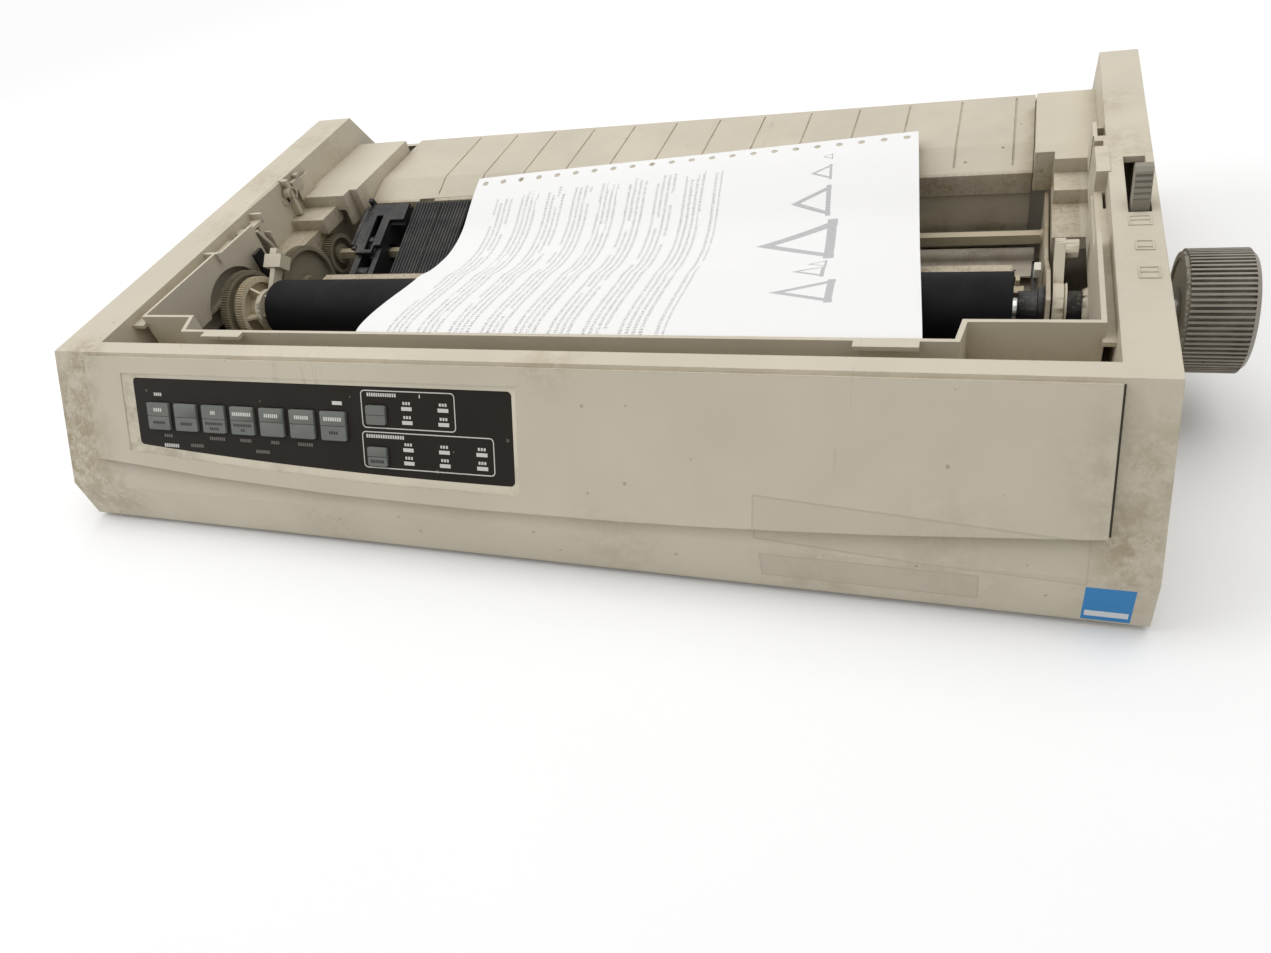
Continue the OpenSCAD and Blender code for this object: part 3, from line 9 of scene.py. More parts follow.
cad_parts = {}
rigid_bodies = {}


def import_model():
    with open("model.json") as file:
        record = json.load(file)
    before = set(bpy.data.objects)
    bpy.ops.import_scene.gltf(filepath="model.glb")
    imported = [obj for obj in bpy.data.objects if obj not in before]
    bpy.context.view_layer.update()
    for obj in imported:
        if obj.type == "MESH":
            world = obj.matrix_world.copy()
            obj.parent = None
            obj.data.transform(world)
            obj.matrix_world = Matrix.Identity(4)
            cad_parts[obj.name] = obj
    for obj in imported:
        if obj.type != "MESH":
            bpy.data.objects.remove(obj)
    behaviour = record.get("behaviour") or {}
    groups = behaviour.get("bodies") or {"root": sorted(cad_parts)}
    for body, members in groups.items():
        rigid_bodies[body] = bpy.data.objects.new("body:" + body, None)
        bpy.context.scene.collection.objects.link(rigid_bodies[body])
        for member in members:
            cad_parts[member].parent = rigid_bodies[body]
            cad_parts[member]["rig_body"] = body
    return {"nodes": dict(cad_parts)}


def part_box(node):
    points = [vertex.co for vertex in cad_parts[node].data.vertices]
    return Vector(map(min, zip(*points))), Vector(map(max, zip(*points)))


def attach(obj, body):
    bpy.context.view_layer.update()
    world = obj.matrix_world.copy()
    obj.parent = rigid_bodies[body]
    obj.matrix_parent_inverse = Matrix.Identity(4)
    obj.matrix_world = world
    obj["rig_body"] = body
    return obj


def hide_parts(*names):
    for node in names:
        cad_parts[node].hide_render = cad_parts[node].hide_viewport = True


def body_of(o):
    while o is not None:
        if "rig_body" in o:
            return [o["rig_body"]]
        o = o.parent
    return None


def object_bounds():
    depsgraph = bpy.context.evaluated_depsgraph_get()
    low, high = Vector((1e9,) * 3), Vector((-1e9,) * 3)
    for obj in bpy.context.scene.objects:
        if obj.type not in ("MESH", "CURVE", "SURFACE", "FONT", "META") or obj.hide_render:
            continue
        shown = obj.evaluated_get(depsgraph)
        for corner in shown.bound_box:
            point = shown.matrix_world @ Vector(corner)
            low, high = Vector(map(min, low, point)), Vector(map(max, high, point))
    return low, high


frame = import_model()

bl_info = {
    "name": "Dot matrix printer dressing",
    "version": (1, 0, 0),
    "blender": (4, 5, 0),
    "location": "3D View > Sidebar > Printer",
    "description": "Gives the packed printer its finishes, printed lines, labels, stage and camera",
    "category": "Object",
}

CAD_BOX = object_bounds()

# ---------------------------------------------------------------- places

MM = 0.001
PER_METRE = 1 / MM
CASE_LOW, CASE_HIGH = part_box("lower_case")
CASE_MID_X = (CASE_LOW.x + CASE_HIGH.x) / 2
FRONT_Y = CASE_LOW.y
CASE_Z = CASE_LOW.z

# The front face leans back from its crease over the lower case
FACE_LEAN = math.radians(31.6)
CREASE_Z = 24.2 * MM


def case_point(x, y, z):
    """A point given in millimetres from the middle of the case's floor, in metres."""
    return Vector((CASE_MID_X + x * MM, y * MM, CASE_Z + z * MM))


def case_span(node):
    """The x limits of a CAD node, in case millimetres."""
    return [(corner.x - CASE_MID_X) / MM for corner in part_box(node)]


def face_matrix(x, s, h):
    """Stands at x across, s up the front face and h off it, all in millimetres."""
    up = Vector((0, math.sin(FACE_LEAN), math.cos(FACE_LEAN)))
    out = Vector((0, -math.cos(FACE_LEAN), math.sin(FACE_LEAN)))
    foot = Vector((CASE_MID_X + x * MM, FRONT_Y, CASE_Z + CREASE_Z))
    place = foot + up * (s * MM) + out * (h * MM)
    return Matrix(
        (
            (1, 0, 0, place.x),
            (0, up.y, out.y, place.y),
            (0, up.z, out.z, place.z),
            (0, 0, 0, 1),
        )
    )


# Plan of the open well, and the axes of the gear train as (y, z) in case millimetres
WELL_X = (case_point(-247.0, 0, 0).x, case_point(249.0, 0, 0).x)
WELL_Y = (case_point(0, -108.0, 0).y, case_point(0, 87.0, 0).y)
WELL_BLUR = 1 * MM
PLATEN_AXIS = (-34.0, 49.0)
IDLER_AXIS = (11.22, 36.18)
TRACTOR_AXIS = (51.70, 37.26)
MOTOR_AXIS = (-46.68, 21.81)


# ---------------------------------------------------------------- settings


class CaseSettings(bpy.types.PropertyGroup):
    shell: FloatVectorProperty(
        name="Shell colour", description="Moulded colour of the case", subtype="COLOR",
        default=(0.560, 0.508, 0.404), min=0, max=1,
    )
    dirt_and_shade_colour: FloatVectorProperty(
        name="Dirt and shade colour", description="Colour of the dirt and the painted shade in corners and gutters", subtype="COLOR",
        default=(0.235, 0.170, 0.082), min=0, max=1,
    )
    edge_radius: FloatProperty(
        name="Edge radius", description="Rounding of the case's outer edges", subtype="DISTANCE",
        unit="LENGTH", default=0.0012, min=0.0002, max=0.003,
    )
    grain: FloatProperty(
        name="Grain size", description="Size of the spark-eroded grain", subtype="DISTANCE",
        unit="LENGTH", default=0.0006, min=0.0002, max=0.002,
    )


class WellSettings(bpy.types.PropertyGroup):
    cream: FloatVectorProperty(
        name="Gear colour", description="Acetal of gears and levers", subtype="COLOR",
        default=(0.640, 0.560, 0.400), min=0, max=1,
    )
    black: FloatVectorProperty(
        name="Tractor colour", description="Black mouldings in the well", subtype="COLOR",
        default=(0.016, 0.016, 0.017), min=0, max=1,
    )
    small_radius: FloatProperty(
        name="Small edge radius", description="Rounding of small mouldings", subtype="DISTANCE",
        unit="LENGTH", default=0.0003, min=0.0001, max=0.001,
    )


class PanelSettings(bpy.types.PropertyGroup):
    film: FloatVectorProperty(
        name="Film colour", description="Dark film round the keys", subtype="COLOR",
        default=(0.017, 0.014, 0.011), min=0, max=1,
    )
    key: FloatVectorProperty(
        name="Key colour", description="Moulded key caps", subtype="COLOR",
        default=(0.150, 0.155, 0.138), min=0, max=1,
    )
    line_width: FloatProperty(
        name="Line width", description="Width of the printed frames on the film", subtype="DISTANCE",
        unit="LENGTH", default=0.0005, min=0.0002, max=0.001,
    )


class FormSettings(bpy.types.PropertyGroup):
    paper: FloatVectorProperty(
        name="Paper colour", description="Colour of the form", subtype="COLOR",
        default=(0.820, 0.815, 0.805), min=0, max=1,
    )
    row_pitch: FloatProperty(
        name="Row pitch", description="Distance between printed rows", subtype="DISTANCE",
        unit="LENGTH", default=0.0034, min=0.0025, max=0.006,
    )
    rows_in_block: IntProperty(
        name="Rows in a block", description="Printed rows between two bare bands", default=4,
        min=1, max=8,
    )


class StageSettings(bpy.types.PropertyGroup):
    floor: FloatVectorProperty(
        name="Floor colour", description="Colour of the floor", subtype="COLOR",
        default=(0.93, 0.93, 0.93), min=0, max=1,
    )
    lamp_power: FloatProperty(
        name="Lamp power", description="Power of the large soft lamp", unit="POWER", default=24.5,
        min=1, max=200,
    )


# ---------------------------------------------------------------- shader building


class Graph:
    """Adds and links nodes in one shader tree."""

    def __init__(self, tree):
        self.tree = tree

    def add(self, kind, inputs=None, **values):
        """A node of that kind, with sockets fed by name or number and properties set by name."""
        node = self.tree.nodes.new(kind)
        for name, value in values.items():
            setattr(node, name, value)
        for name, value in (inputs or {}).items():
            self.feed(node.inputs[name], value)
        return node

    def feed(self, socket, value):
        if isinstance(value, bpy.types.NodeSocket):
            self.tree.links.new(value, socket)
        elif value is not None:
            socket.default_value = value

    def maths(self, operation, a, b=None, c=None, clamp=False):
        node = self.add("ShaderNodeMath", operation=operation, use_clamp=clamp)
        for socket, value in zip(node.inputs, (a, b, c)):
            self.feed(socket, value)
        return node.outputs[0]

    def fold(self, operation, values):
        """The values joined by one operation, from the left."""
        total = values[0]
        for value in values[1:]:
            total = self.maths(operation, total, value)
        return total

    def product(self, *values):
        return self.fold("MULTIPLY", values)

    def span(self, value, low, high, out_low=0.0, out_high=1.0):
        """Maps value from low..high to out_low..out_high, clamped."""
        node = self.add("ShaderNodeMapRange", clamp=True, interpolation_type="SMOOTHSTEP")
        labels = ("Value", "From Min", "From Max", "To Min", "To Max")
        for label, number in zip(labels, (value, low, high, out_low, out_high)):
            self.feed(node.inputs[label], number)
        return node.outputs["Result"]

    def blend(self, factor, a, b):
        """Colour a where the factor is 0, and colour b where it is 1."""
        node = self.add("ShaderNodeMix", {"Factor": factor}, data_type="RGBA")
        for label, colour in (("A", a), ("B", b)):
            linked = isinstance(colour, bpy.types.NodeSocket)
            self.feed(node.inputs[label], colour if linked else (*colour, 1.0))
        return node.outputs["Result"]

    def here(self):
        """Object coordinates, in metres."""
        return self.add("ShaderNodeTexCoord").outputs["Object"]

    def axes(self, vector):
        """The X, Y and Z of a vector."""
        return self.add("ShaderNodeSeparateXYZ", {"Vector": vector}).outputs

    def joined(self, **axes):
        """A vector with that X, Y and Z."""
        return self.add("ShaderNodeCombineXYZ", axes).outputs["Vector"]

    def place(self, scale=(1, 1, 1), turn=(0, 0, 0), shift=(0, 0, 0)):
        """Object coordinates in metres, scaled, turned and shifted."""
        inputs = {"Vector": self.here(), "Scale": scale, "Rotation": turn, "Location": shift}
        return self.add("ShaderNodeMapping", inputs, vector_type="POINT").outputs["Vector"]

    def noise(self, vector, scale, detail=2.0, rough=0.5):
        inputs = {"Vector": vector, "Scale": scale, "Detail": detail, "Roughness": rough}
        return self.add("ShaderNodeTexNoise", inputs).outputs["Fac"]

    def patches(self, vector, scale, between, least=0.0, detail=2.0, rough=0.5):
        """Noise spread out from least to 1 between two of its levels."""
        return self.span(self.noise(vector, scale, detail, rough), *between, least, 1.0)

    def compared(self, operation, a, b):
        """The distance or the dot product of two vectors."""
        return self.add("ShaderNodeVectorMath", {0: a, 1: b}, operation=operation).outputs["Value"]

    def chance(self, a, b=None):
        """A random number from 0 to 1 for each a, or for each pair of a and b."""
        if b is None:
            node = self.add("ShaderNodeTexWhiteNoise", {"W": a}, noise_dimensions="1D")
        else:
            pair = {"Vector": self.joined(X=a, Y=b)}
            node = self.add("ShaderNodeTexWhiteNoise", pair, noise_dimensions="2D")
        return node.outputs["Value"]


def new_group(name, inputs, outputs=("Mask",)):
    """A shader node group with float inputs {label: default} and float outputs."""
    tree = bpy.data.node_groups.new(name, "ShaderNodeTree")
    for label, default in inputs.items():
        socket = tree.interface.new_socket(label, in_out="INPUT", socket_type="NodeSocketFloat")
        socket.default_value = default
    for label in outputs:
        tree.interface.new_socket(label, in_out="OUTPUT", socket_type="NodeSocketFloat")
    graph = Graph(tree)
    start = graph.add("NodeGroupInput")
    end = graph.add("NodeGroupOutput")
    return graph, start.outputs, end.inputs


def feed_mask(graph, given, out, *values):
    """Ends a group: its Mask is the product of the values and its Amount, kept within 0..1."""
    mask = graph.maths("MULTIPLY", graph.product(*values), given["Amount"], clamp=True)
    graph.feed(out["Mask"], mask)


def make_grain_group():
    """Fine moulded grain, and the slow clouding of its colour."""
    labels = {"Grain per metre": 1800.0, "Cloud per metre": 14.0}
    graph, given, out = new_group("Moulded grain", labels, ("Height", "Tone"))
    where = graph.place()
    fine = graph.noise(where, given["Grain per metre"], detail=1.0)
    coarse = graph.noise(where, graph.product(given["Grain per metre"], 0.35))
    height = graph.maths("ADD", graph.product(fine, 0.6), graph.product(coarse, 0.4))
    graph.feed(out["Height"], height)
    graph.feed(out["Tone"], graph.noise(where, given["Cloud per metre"], detail=4.0, rough=0.6))


def make_corner_dirt_and_shade_group():
    """Dirt in corners, together with painted shade: ambient occlusion darkens what is closed in, broken into
    patches.
    """
    labels = {"Reach": 0.012, "Amount": 0.7, "Patch per metre": 60.0}
    graph, given, out = new_group("Corner dirt and shade", labels)
    # Painted shade: ambient occlusion darkens corners, creases and recesses where shade falls
    closed = graph.add("ShaderNodeAmbientOcclusion", {"Distance": given["Reach"]}, samples=6)
    corner = graph.span(closed.outputs["AO"], 0.95, 0.35)
    patch = graph.patches(
        graph.place(), given["Patch per metre"], (0.38, 0.68), least=0.25, detail=5.0, rough=0.65
    )
    feed_mask(graph, given, out, corner, patch)


def make_scuff_group():
    """Thin marks that lie two ways, in some zones only."""
    graph, given, out = new_group("Scuffs", {"Per metre": 90.0, "Amount": 0.5})
    marks = []
    for turn, stretch in ((0.5, 9.0), (-0.9, 14.0)):
        where = graph.place(scale=(1.0, 1.0 / stretch, 1.0 / stretch), turn=(turn, turn * 0.6, turn))
        marks.append(graph.patches(where, given["Per metre"], (0.63, 0.70), detail=6.0, rough=0.75))
    zone = graph.patches(graph.place(), 9.0, (0.48, 0.66))
    feed_mask(graph, given, out, graph.fold("MAXIMUM", marks), zone)


def make_dust_group():
    """Dust and specks on what faces up."""
    graph, given, out = new_group("Settled dust", {"Amount": 0.5, "Speck per metre": 700.0})
    facing = graph.axes(graph.add("ShaderNodeNewGeometry").outputs["Normal"])
    up = graph.span(facing["Z"], 0.35, 0.95)
    where = graph.place()
    soft = graph.patches(where, 70.0, (0.35, 0.75), detail=4.0, rough=0.6)
    speck = graph.patches(where, given["Speck per metre"], (0.52, 0.72), rough=0.7)
    feed_mask(graph, given, out, up, graph.maths("ADD", soft, speck))


def make_streak_group():
    """Streaks along X, as grinding leaves them."""
    graph, given, out = new_group("Ground streaks", {"Along": 12.0, "Across": 2600.0}, ("Height",))
    parts = graph.axes(graph.here())
    rates = {"X": given["Along"], "Y": given["Across"], "Z": given["Across"]}
    drawn = graph.joined(**{axis: graph.product(parts[axis], rate) for axis, rate in rates.items()})
    graph.feed(out["Height"], graph.noise(drawn, 1.0, detail=3.0, rough=0.6))


def make_depth_group():
    """Darker towards the bottom of the well, inside the well's plan only."""
    labels = {"Darkening top": 0.083, "Darkening bottom": 0.052, "Amount": 0.9}
    graph, given, out = new_group("Well depth", labels)
    parts = graph.axes(graph.here())
    deep = graph.span(parts["Z"], given["Darkening top"], given["Darkening bottom"])
    inside = []
    for axis, (low, high) in (("X", WELL_X), ("Y", WELL_Y)):
        reach = graph.maths("ABSOLUTE", graph.maths("SUBTRACT", parts[axis], (low + high) / 2))
        half = (high - low) / 2
        inside.append(graph.span(reach, half + WELL_BLUR, half - WELL_BLUR))
    where = graph.place()
    patch = graph.patches(where, 46.0, (0.36, 0.64), least=0.45, detail=6.0, rough=0.75)
    speck = graph.patches(where, 420.0, (0.42, 0.60), least=0.35, detail=5.0, rough=0.95)
    feed_mask(graph, given, out, deep, *inside, patch, speck)


def make_speck_group():
    """Small separate specks, one in some of the cells."""
    labels = {"Per metre": 105.0, "Size": 0.11, "Share": 0.30, "Amount": 0.8}
    graph, given, out = new_group("Specks", labels)
    inputs = {"Vector": graph.place(), "Scale": given["Per metre"]}
    cells = graph.add("ShaderNodeTexVoronoi", inputs, feature="F1").outputs
    tint = graph.add("ShaderNodeSeparateColor", {"Color": cells["Color"]}).outputs
    spot = graph.maths("LESS_THAN", cells["Distance"], graph.product(given["Size"], tint["Green"]))
    chosen = graph.maths("LESS_THAN", tint["Red"], given["Share"])
    feed_mask(graph, given, out, spot, chosen)


def make_smudge_group():
    """A patchy smear round one place, in metres."""
    labels = {"At X": 0.0, "At Y": 0.0, "At Z": 0.0, "Reach": 0.03, "Amount": 0.5}
    graph, given, out = new_group("Smudge", labels)
    centre = graph.joined(X=given["At X"], Y=given["At Y"], Z=given["At Z"])
    where = graph.here()
    near = graph.span(graph.compared("DISTANCE", where, centre), given["Reach"], 0.0)
    patch = graph.patches(where, 110.0, (0.36, 0.62), detail=6.0, rough=0.75)
    feed_mask(graph, given, out, near, patch)


def make_edge_group():
    """Worn edges, found where a rounded normal leaves the true one."""
    graph, given, out = new_group("Edge wear", {"Radius": 0.0012, "Amount": 0.6})
    rounded = graph.add("ShaderNodeBevel", {"Radius": given["Radius"]}, samples=4).outputs["Normal"]
    true_normal = graph.add("ShaderNodeNewGeometry").outputs["True Normal"]
    edge = graph.span(graph.compared("DOT_PRODUCT", rounded, true_normal), 0.985, 0.86)
    patch = graph.patches(graph.place(), 160.0, (0.40, 0.62), detail=5.0, rough=0.7)
    feed_mask(graph, given, out, edge, patch)


def make_patch_group():
    """A flat patch on the front, between two x limits and two sloping lines, in metres."""
    labels = {"Left": 0.0, "Right": 0.1, "Bottom": 0.0, "Top": 0.1, "Slope": 0.0, "Deepest": 0.0}
    graph, given, out = new_group("Front patch", labels, ("Mask", "Rim"))
    parts = graph.axes(graph.here())
    from_left = graph.maths("SUBTRACT", parts["X"], given["Left"])
    z = graph.maths("SUBTRACT", parts["Z"], graph.product(from_left, given["Slope"]))
    others = ((given["Right"], parts["X"]), (z, given["Bottom"]), (given["Top"], z))
    gaps = [from_left] + [graph.maths("SUBTRACT", a, b) for a, b in others]
    inset = graph.fold("MINIMUM", gaps)
    front = graph.maths("LESS_THAN", parts["Y"], given["Deepest"])
    inside = graph.product(graph.maths("GREATER_THAN", inset, 0.0), front)
    graph.feed(out["Mask"], inside)
    graph.feed(out["Rim"], graph.product(inside, graph.maths("LESS_THAN", inset, PATCH_RIM)))


def make_wedge_group():
    """A hollow triangle with a bar, drawn in form coordinates in millimetres."""
    labels = {"Across": 0.0, "Along": 0.0, "At across": 0.0, "At along": 0.0, "Size": 10.0}
    graph, given, out = new_group("Form mark", labels, ("Ink",))
    rise = graph.maths("SUBTRACT", given["At across"], given["Across"])
    up = graph.maths("DIVIDE", rise, given["Size"])
    side = graph.maths("SUBTRACT", given["Along"], given["At along"])
    reach = graph.maths("ABSOLUTE", graph.maths("DIVIDE", side, given["Size"]))
    edge = graph.product(graph.maths("SUBTRACT", 1.0, up), 0.5)
    stroke = graph.maths("COMPARE", reach, graph.maths("SUBTRACT", edge, 0.06), 0.06)
    foot = graph.product(graph.maths("COMPARE", up, 0.05, 0.06), graph.maths("LESS_THAN", reach, 0.52))
    inside = graph.product(graph.maths("GREATER_THAN", up, -0.02), graph.maths("LESS_THAN", up, 1.0))
    graph.feed(out["Ink"], graph.product(graph.maths("MAXIMUM", stroke, foot), inside))


GROUP_MAKERS = (
    make_grain_group,
    make_corner_dirt_and_shade_group,
    make_scuff_group,
    make_dust_group,
    make_streak_group,
    make_depth_group,
    make_speck_group,
    make_smudge_group,
    make_edge_group,
    make_patch_group,
    make_wedge_group,
)


class Finish:
    """One material: a Principled shader fed by the shared groups."""

    def __init__(self, name, roughness=0.5, metallic=0.0, **constants):
        self.material = bpy.data.materials.new(name)
        self.material.use_nodes = True
        tree = self.material.node_tree
        tree.nodes.clear()
        self.graph = Graph(tree)
        self.shader = self.graph.add("ShaderNodeBsdfPrincipled")
        self.result = self.graph.add("ShaderNodeOutputMaterial")
        tree.links.new(self.shader.outputs["BSDF"], self.result.inputs["Surface"])
        self.shader.inputs["Roughness"].default_value = roughness
        self.shader.inputs["Metallic"].default_value = metallic
        for label, value in constants.items():
            self.shader.inputs[label.replace("_", " ")].default_value = value

    def group(self, name, **inputs):
        """The outputs of a shared group, with its inputs given by label."""
        node = self.graph.add("ShaderNodeGroup")
        node.node_tree = bpy.data.node_groups[name]
        for label, value in inputs.items():
            self.graph.feed(node.inputs[label.replace("_", " ")], value)
        return node.outputs

    def colour(self, value):
        self.graph.feed(self.shader.inputs["Base Color"], value)

    def rough(self, value):
        self.graph.feed(self.shader.inputs["Roughness"], value)

    def bump(self, height, distance):
        node = self.graph.add("ShaderNodeBump", {"Strength": 1.0, "Distance": distance, "Height": height})
        self.graph.feed(self.shader.inputs["Normal"], node.outputs["Normal"])


def shade(colour, amount):
    """The colour made lighter (above 1) or darker (below 1)."""
    return tuple(min(1.0, c * amount) for c in colour)


def moulded(name, colour, roughness, grain=1800.0, depth=0.00002, dirt_and_shade_colour=None, corner_dirt_and_shade=0.0,
            reach=0.012, scuffs=0.0, dust=0.0, dust_colour=(0.30, 0.27, 0.22), tone=0.06,
            deep=0.0, specks=0.0, wear=0.0, smudges=(), patches=(), gloss=0.28):
    """Moulded plastic with grain, clouding, dirt and painted shade in corners, scuffs, dust, specks, worn
    edges, stuck patches and a darkening towards the bottom of the well.
    """
    finish = Finish(name, roughness=roughness, Specular_IOR_Level=gloss)
    graph = finish.graph
    grain_out = finish.group("Moulded grain", Grain_per_metre=grain)
    cloud = graph.span(grain_out["Tone"], 0.3, 0.7)
    base = graph.blend(cloud, shade(colour, 1 - tone), shade(colour, 1 + tone))
    # Layers over the plastic's colour, from the lowest up, the corners' dirt and painted shade among them:
    # group, amount, tint and the group's inputs
    layers = [
        ("Scuffs", scuffs, shade(colour, 0.55), {}),
        # Corners darkened by ambient occlusion: dirt and painted shade together
        ("Corner dirt and shade", corner_dirt_and_shade, dirt_and_shade_colour, {"Reach": reach}),
        ("Edge wear", wear, shade(colour, 0.6), {}),
    ]
    for place, reach_mm, amount in smudges:
        spot = case_point(*place)
        inputs = {"At_X": spot.x, "At_Y": spot.y, "At_Z": spot.z, "Reach": reach_mm * MM}
        layers.append(("Smudge", amount, dirt_and_shade_colour, inputs))
    layers += [
        ("Settled dust", dust, dust_colour, {}),
        ("Well depth", deep, dirt_and_shade_colour, {}),
        ("Specks", specks, dirt_and_shade_colour or shade(colour, 0.4), {}),
    ]
    for group, amount, tint, inputs in layers:
        if amount:
            base = graph.blend(finish.group(group, Amount=amount, **inputs)["Mask"], base, tint)
    for x, z, slope, tint, rim, strength in patches:
        low, high = case_point(x[0], 0, z[0]), case_point(x[1], 0, z[1])
        patch = finish.group(
            "Front patch", Left=low.x, Right=high.x, Bottom=low.z, Top=high.z, Slope=slope,
            Deepest=FRONT_Y + PATCH_DEPTH,
        )
        base = graph.blend(graph.product(patch["Mask"], strength), base, tint)
        base = graph.blend(graph.product(patch["Rim"], strength), base, rim)
    finish.colour(base)
    finish.rough(graph.span(grain_out["Height"], 0.2, 0.8, roughness - 0.06, roughness + 0.08))
    finish.bump(grain_out["Height"], depth)
    return finish.material


def steel(name, colour, roughness, stain=0.3):
    """Ground or plated steel with streaks and faint stains."""
    finish = Finish(name, roughness=roughness, metallic=1.0)
    graph = finish.graph
    streaks = finish.group("Ground streaks")["Height"]
    grain_out = finish.group("Moulded grain", Grain_per_metre=900.0, Cloud_per_metre=35.0)
    cloud = graph.span(grain_out["Tone"], 0.42, 0.72, 0.0, stain)
    base = graph.blend(cloud, colour, shade(colour, 0.45))
    finish.colour(graph.blend(graph.span(streaks, 0.3, 0.7, 0.0, 0.35), base, shade(colour, 0.8)))
    finish.rough(graph.span(streaks, 0.25, 0.75, roughness - 0.08, roughness + 0.12))
    finish.bump(streaks, 0.00001)
    return finish.material


def rubbery(name, colour, roughness, dust=0.35):
    """Ground rubber with paper dust."""
    finish = Finish(name, roughness=roughness, Specular_IOR_Level=0.12)
    graph = finish.graph
    grain_out = finish.group("Moulded grain", Grain_per_metre=3200.0, Cloud_per_metre=50.0)
    settled = finish.group("Settled dust", Amount=dust, Speck_per_metre=1500.0)["Mask"]
    cloud = graph.span(grain_out["Tone"], 0.3, 0.7)
    base = graph.blend(cloud, shade(colour, 0.8), shade(colour, 1.35))
    finish.colour(graph.blend(settled, base, PAPER_DUST))
    finish.rough(graph.span(grain_out["Tone"], 0.3, 0.7, roughness - 0.05, roughness + 0.1))
    finish.bump(grain_out["Height"], 0.00003)
    return finish.material


def board_finish(name, colour):
    """Solder mask with faint copper tracks under it."""
    finish = Finish(name, roughness=0.35)
    graph = finish.graph
    inputs = {"Vector": graph.place(), "Scale": TRACKS_PER_METRE}
    cells = graph.add("ShaderNodeTexVoronoi", inputs, feature="DISTANCE_TO_EDGE", distance="MANHATTAN")
    track = graph.span(cells.outputs["Distance"], 0.10, 0.16)
    finish.colour(graph.blend(track, shade(colour, 1.9), colour))
    finish.bump(track, 0.00003)
    return finish.material


# The width of a stuck patch's rim, and how far behind the case's front its surface may lie
PATCH_RIM = 0.7 * MM
PATCH_DEPTH = 16 * MM
# Dust on rubber, and the copper tracks' spacing
PAPER_DUST = (0.045, 0.042, 0.040)
TRACKS_PER_METRE = 180.0


# ---------------------------------------------------------------- the printed form

# The form's corner on the case and its turn
FORM_CORNER = case_point(-113.6, 86.9, 0)
FORM_SKEW = math.radians(5.7)
# Rows of dots, in millimetres: the bare band between blocks, the printed width, the start of a row
# and how far it varies, the least cell and how far it varies, a word's length and a dot's size
FORM_BAND = 4.5
FORM_PRINTED = (14.0, 168.0)
FORM_START, FORM_START_SPREAD = -18.0, 9.0
FORM_CELL, FORM_CELL_SPREAD = 1.3, 1.3
FORM_WORD = 9.0
FORM_DOT = 0.34
# A row's inked middle and half height as shares of its pitch, and the share of a cell with ink
FORM_ROW_INK = (0.4, 0.26)
FORM_CELL_INK = 0.72
# Shares of words and of dots that are left out
FORM_BARE_WORDS, FORM_BARE_DOTS = 0.06, 0.42
FORM_STRIPE = 1.1
FORM_INK, FORM_INK_STRENGTH = (0.10, 0.10, 0.115), 0.62
# Hollow triangles on the form: foot across, place along, size, in millimetres
FORM_MARKS = (
    (232.0, -20.0, 6.0),
    (232.0, -34.0, 12.0),
    (232.0, -56.0, 22.0),
    (236.0, -92.0, 42.0),
    (234.0, -122.0, 10.0),
    (234.0, -136.0, 16.0),
    (240.0, -164.0, 30.0),
)


def form_rows(graph, form, across, along):
    """Rows of dots in blocks, broken as words break a row."""

    def count(value, step):
        return graph.maths("FLOOR", graph.maths("DIVIDE", value, step))

    def part(value, step):
        return graph.maths("FRACT", graph.maths("DIVIDE", value, step))

    row = form.row_pitch * PER_METRE
    printed = row * form.rows_in_block
    block = printed + FORM_BAND
    into_block = graph.maths("MODULO", across, block)
    row_id = count(across, row)
    varied = graph.product(graph.chance(row_id), FORM_START_SPREAD)
    block_chance = graph.chance(graph.maths("ADD", count(across, block), 40.0))
    cell = graph.maths("ADD", FORM_CELL, graph.product(block_chance, FORM_CELL_SPREAD))
    word_chance = graph.chance(row_id, count(along, FORM_WORD))
    dot_chance = graph.chance(count(across, FORM_DOT), count(along, FORM_DOT))
    return graph.product(
        graph.maths("LESS_THAN", into_block, printed),
        graph.maths("COMPARE", part(into_block, row), *FORM_ROW_INK),
        graph.maths("LESS_THAN", along, graph.maths("SUBTRACT", FORM_START, varied)),
        graph.maths("LESS_THAN", part(along, cell), FORM_CELL_INK),
        graph.maths("GREATER_THAN", word_chance, FORM_BARE_WORDS),
        graph.maths("GREATER_THAN", dot_chance, FORM_BARE_DOTS),
        graph.maths("GREATER_THAN", across, FORM_PRINTED[0]),
        graph.maths("LESS_THAN", across, FORM_PRINTED[1]),
    )


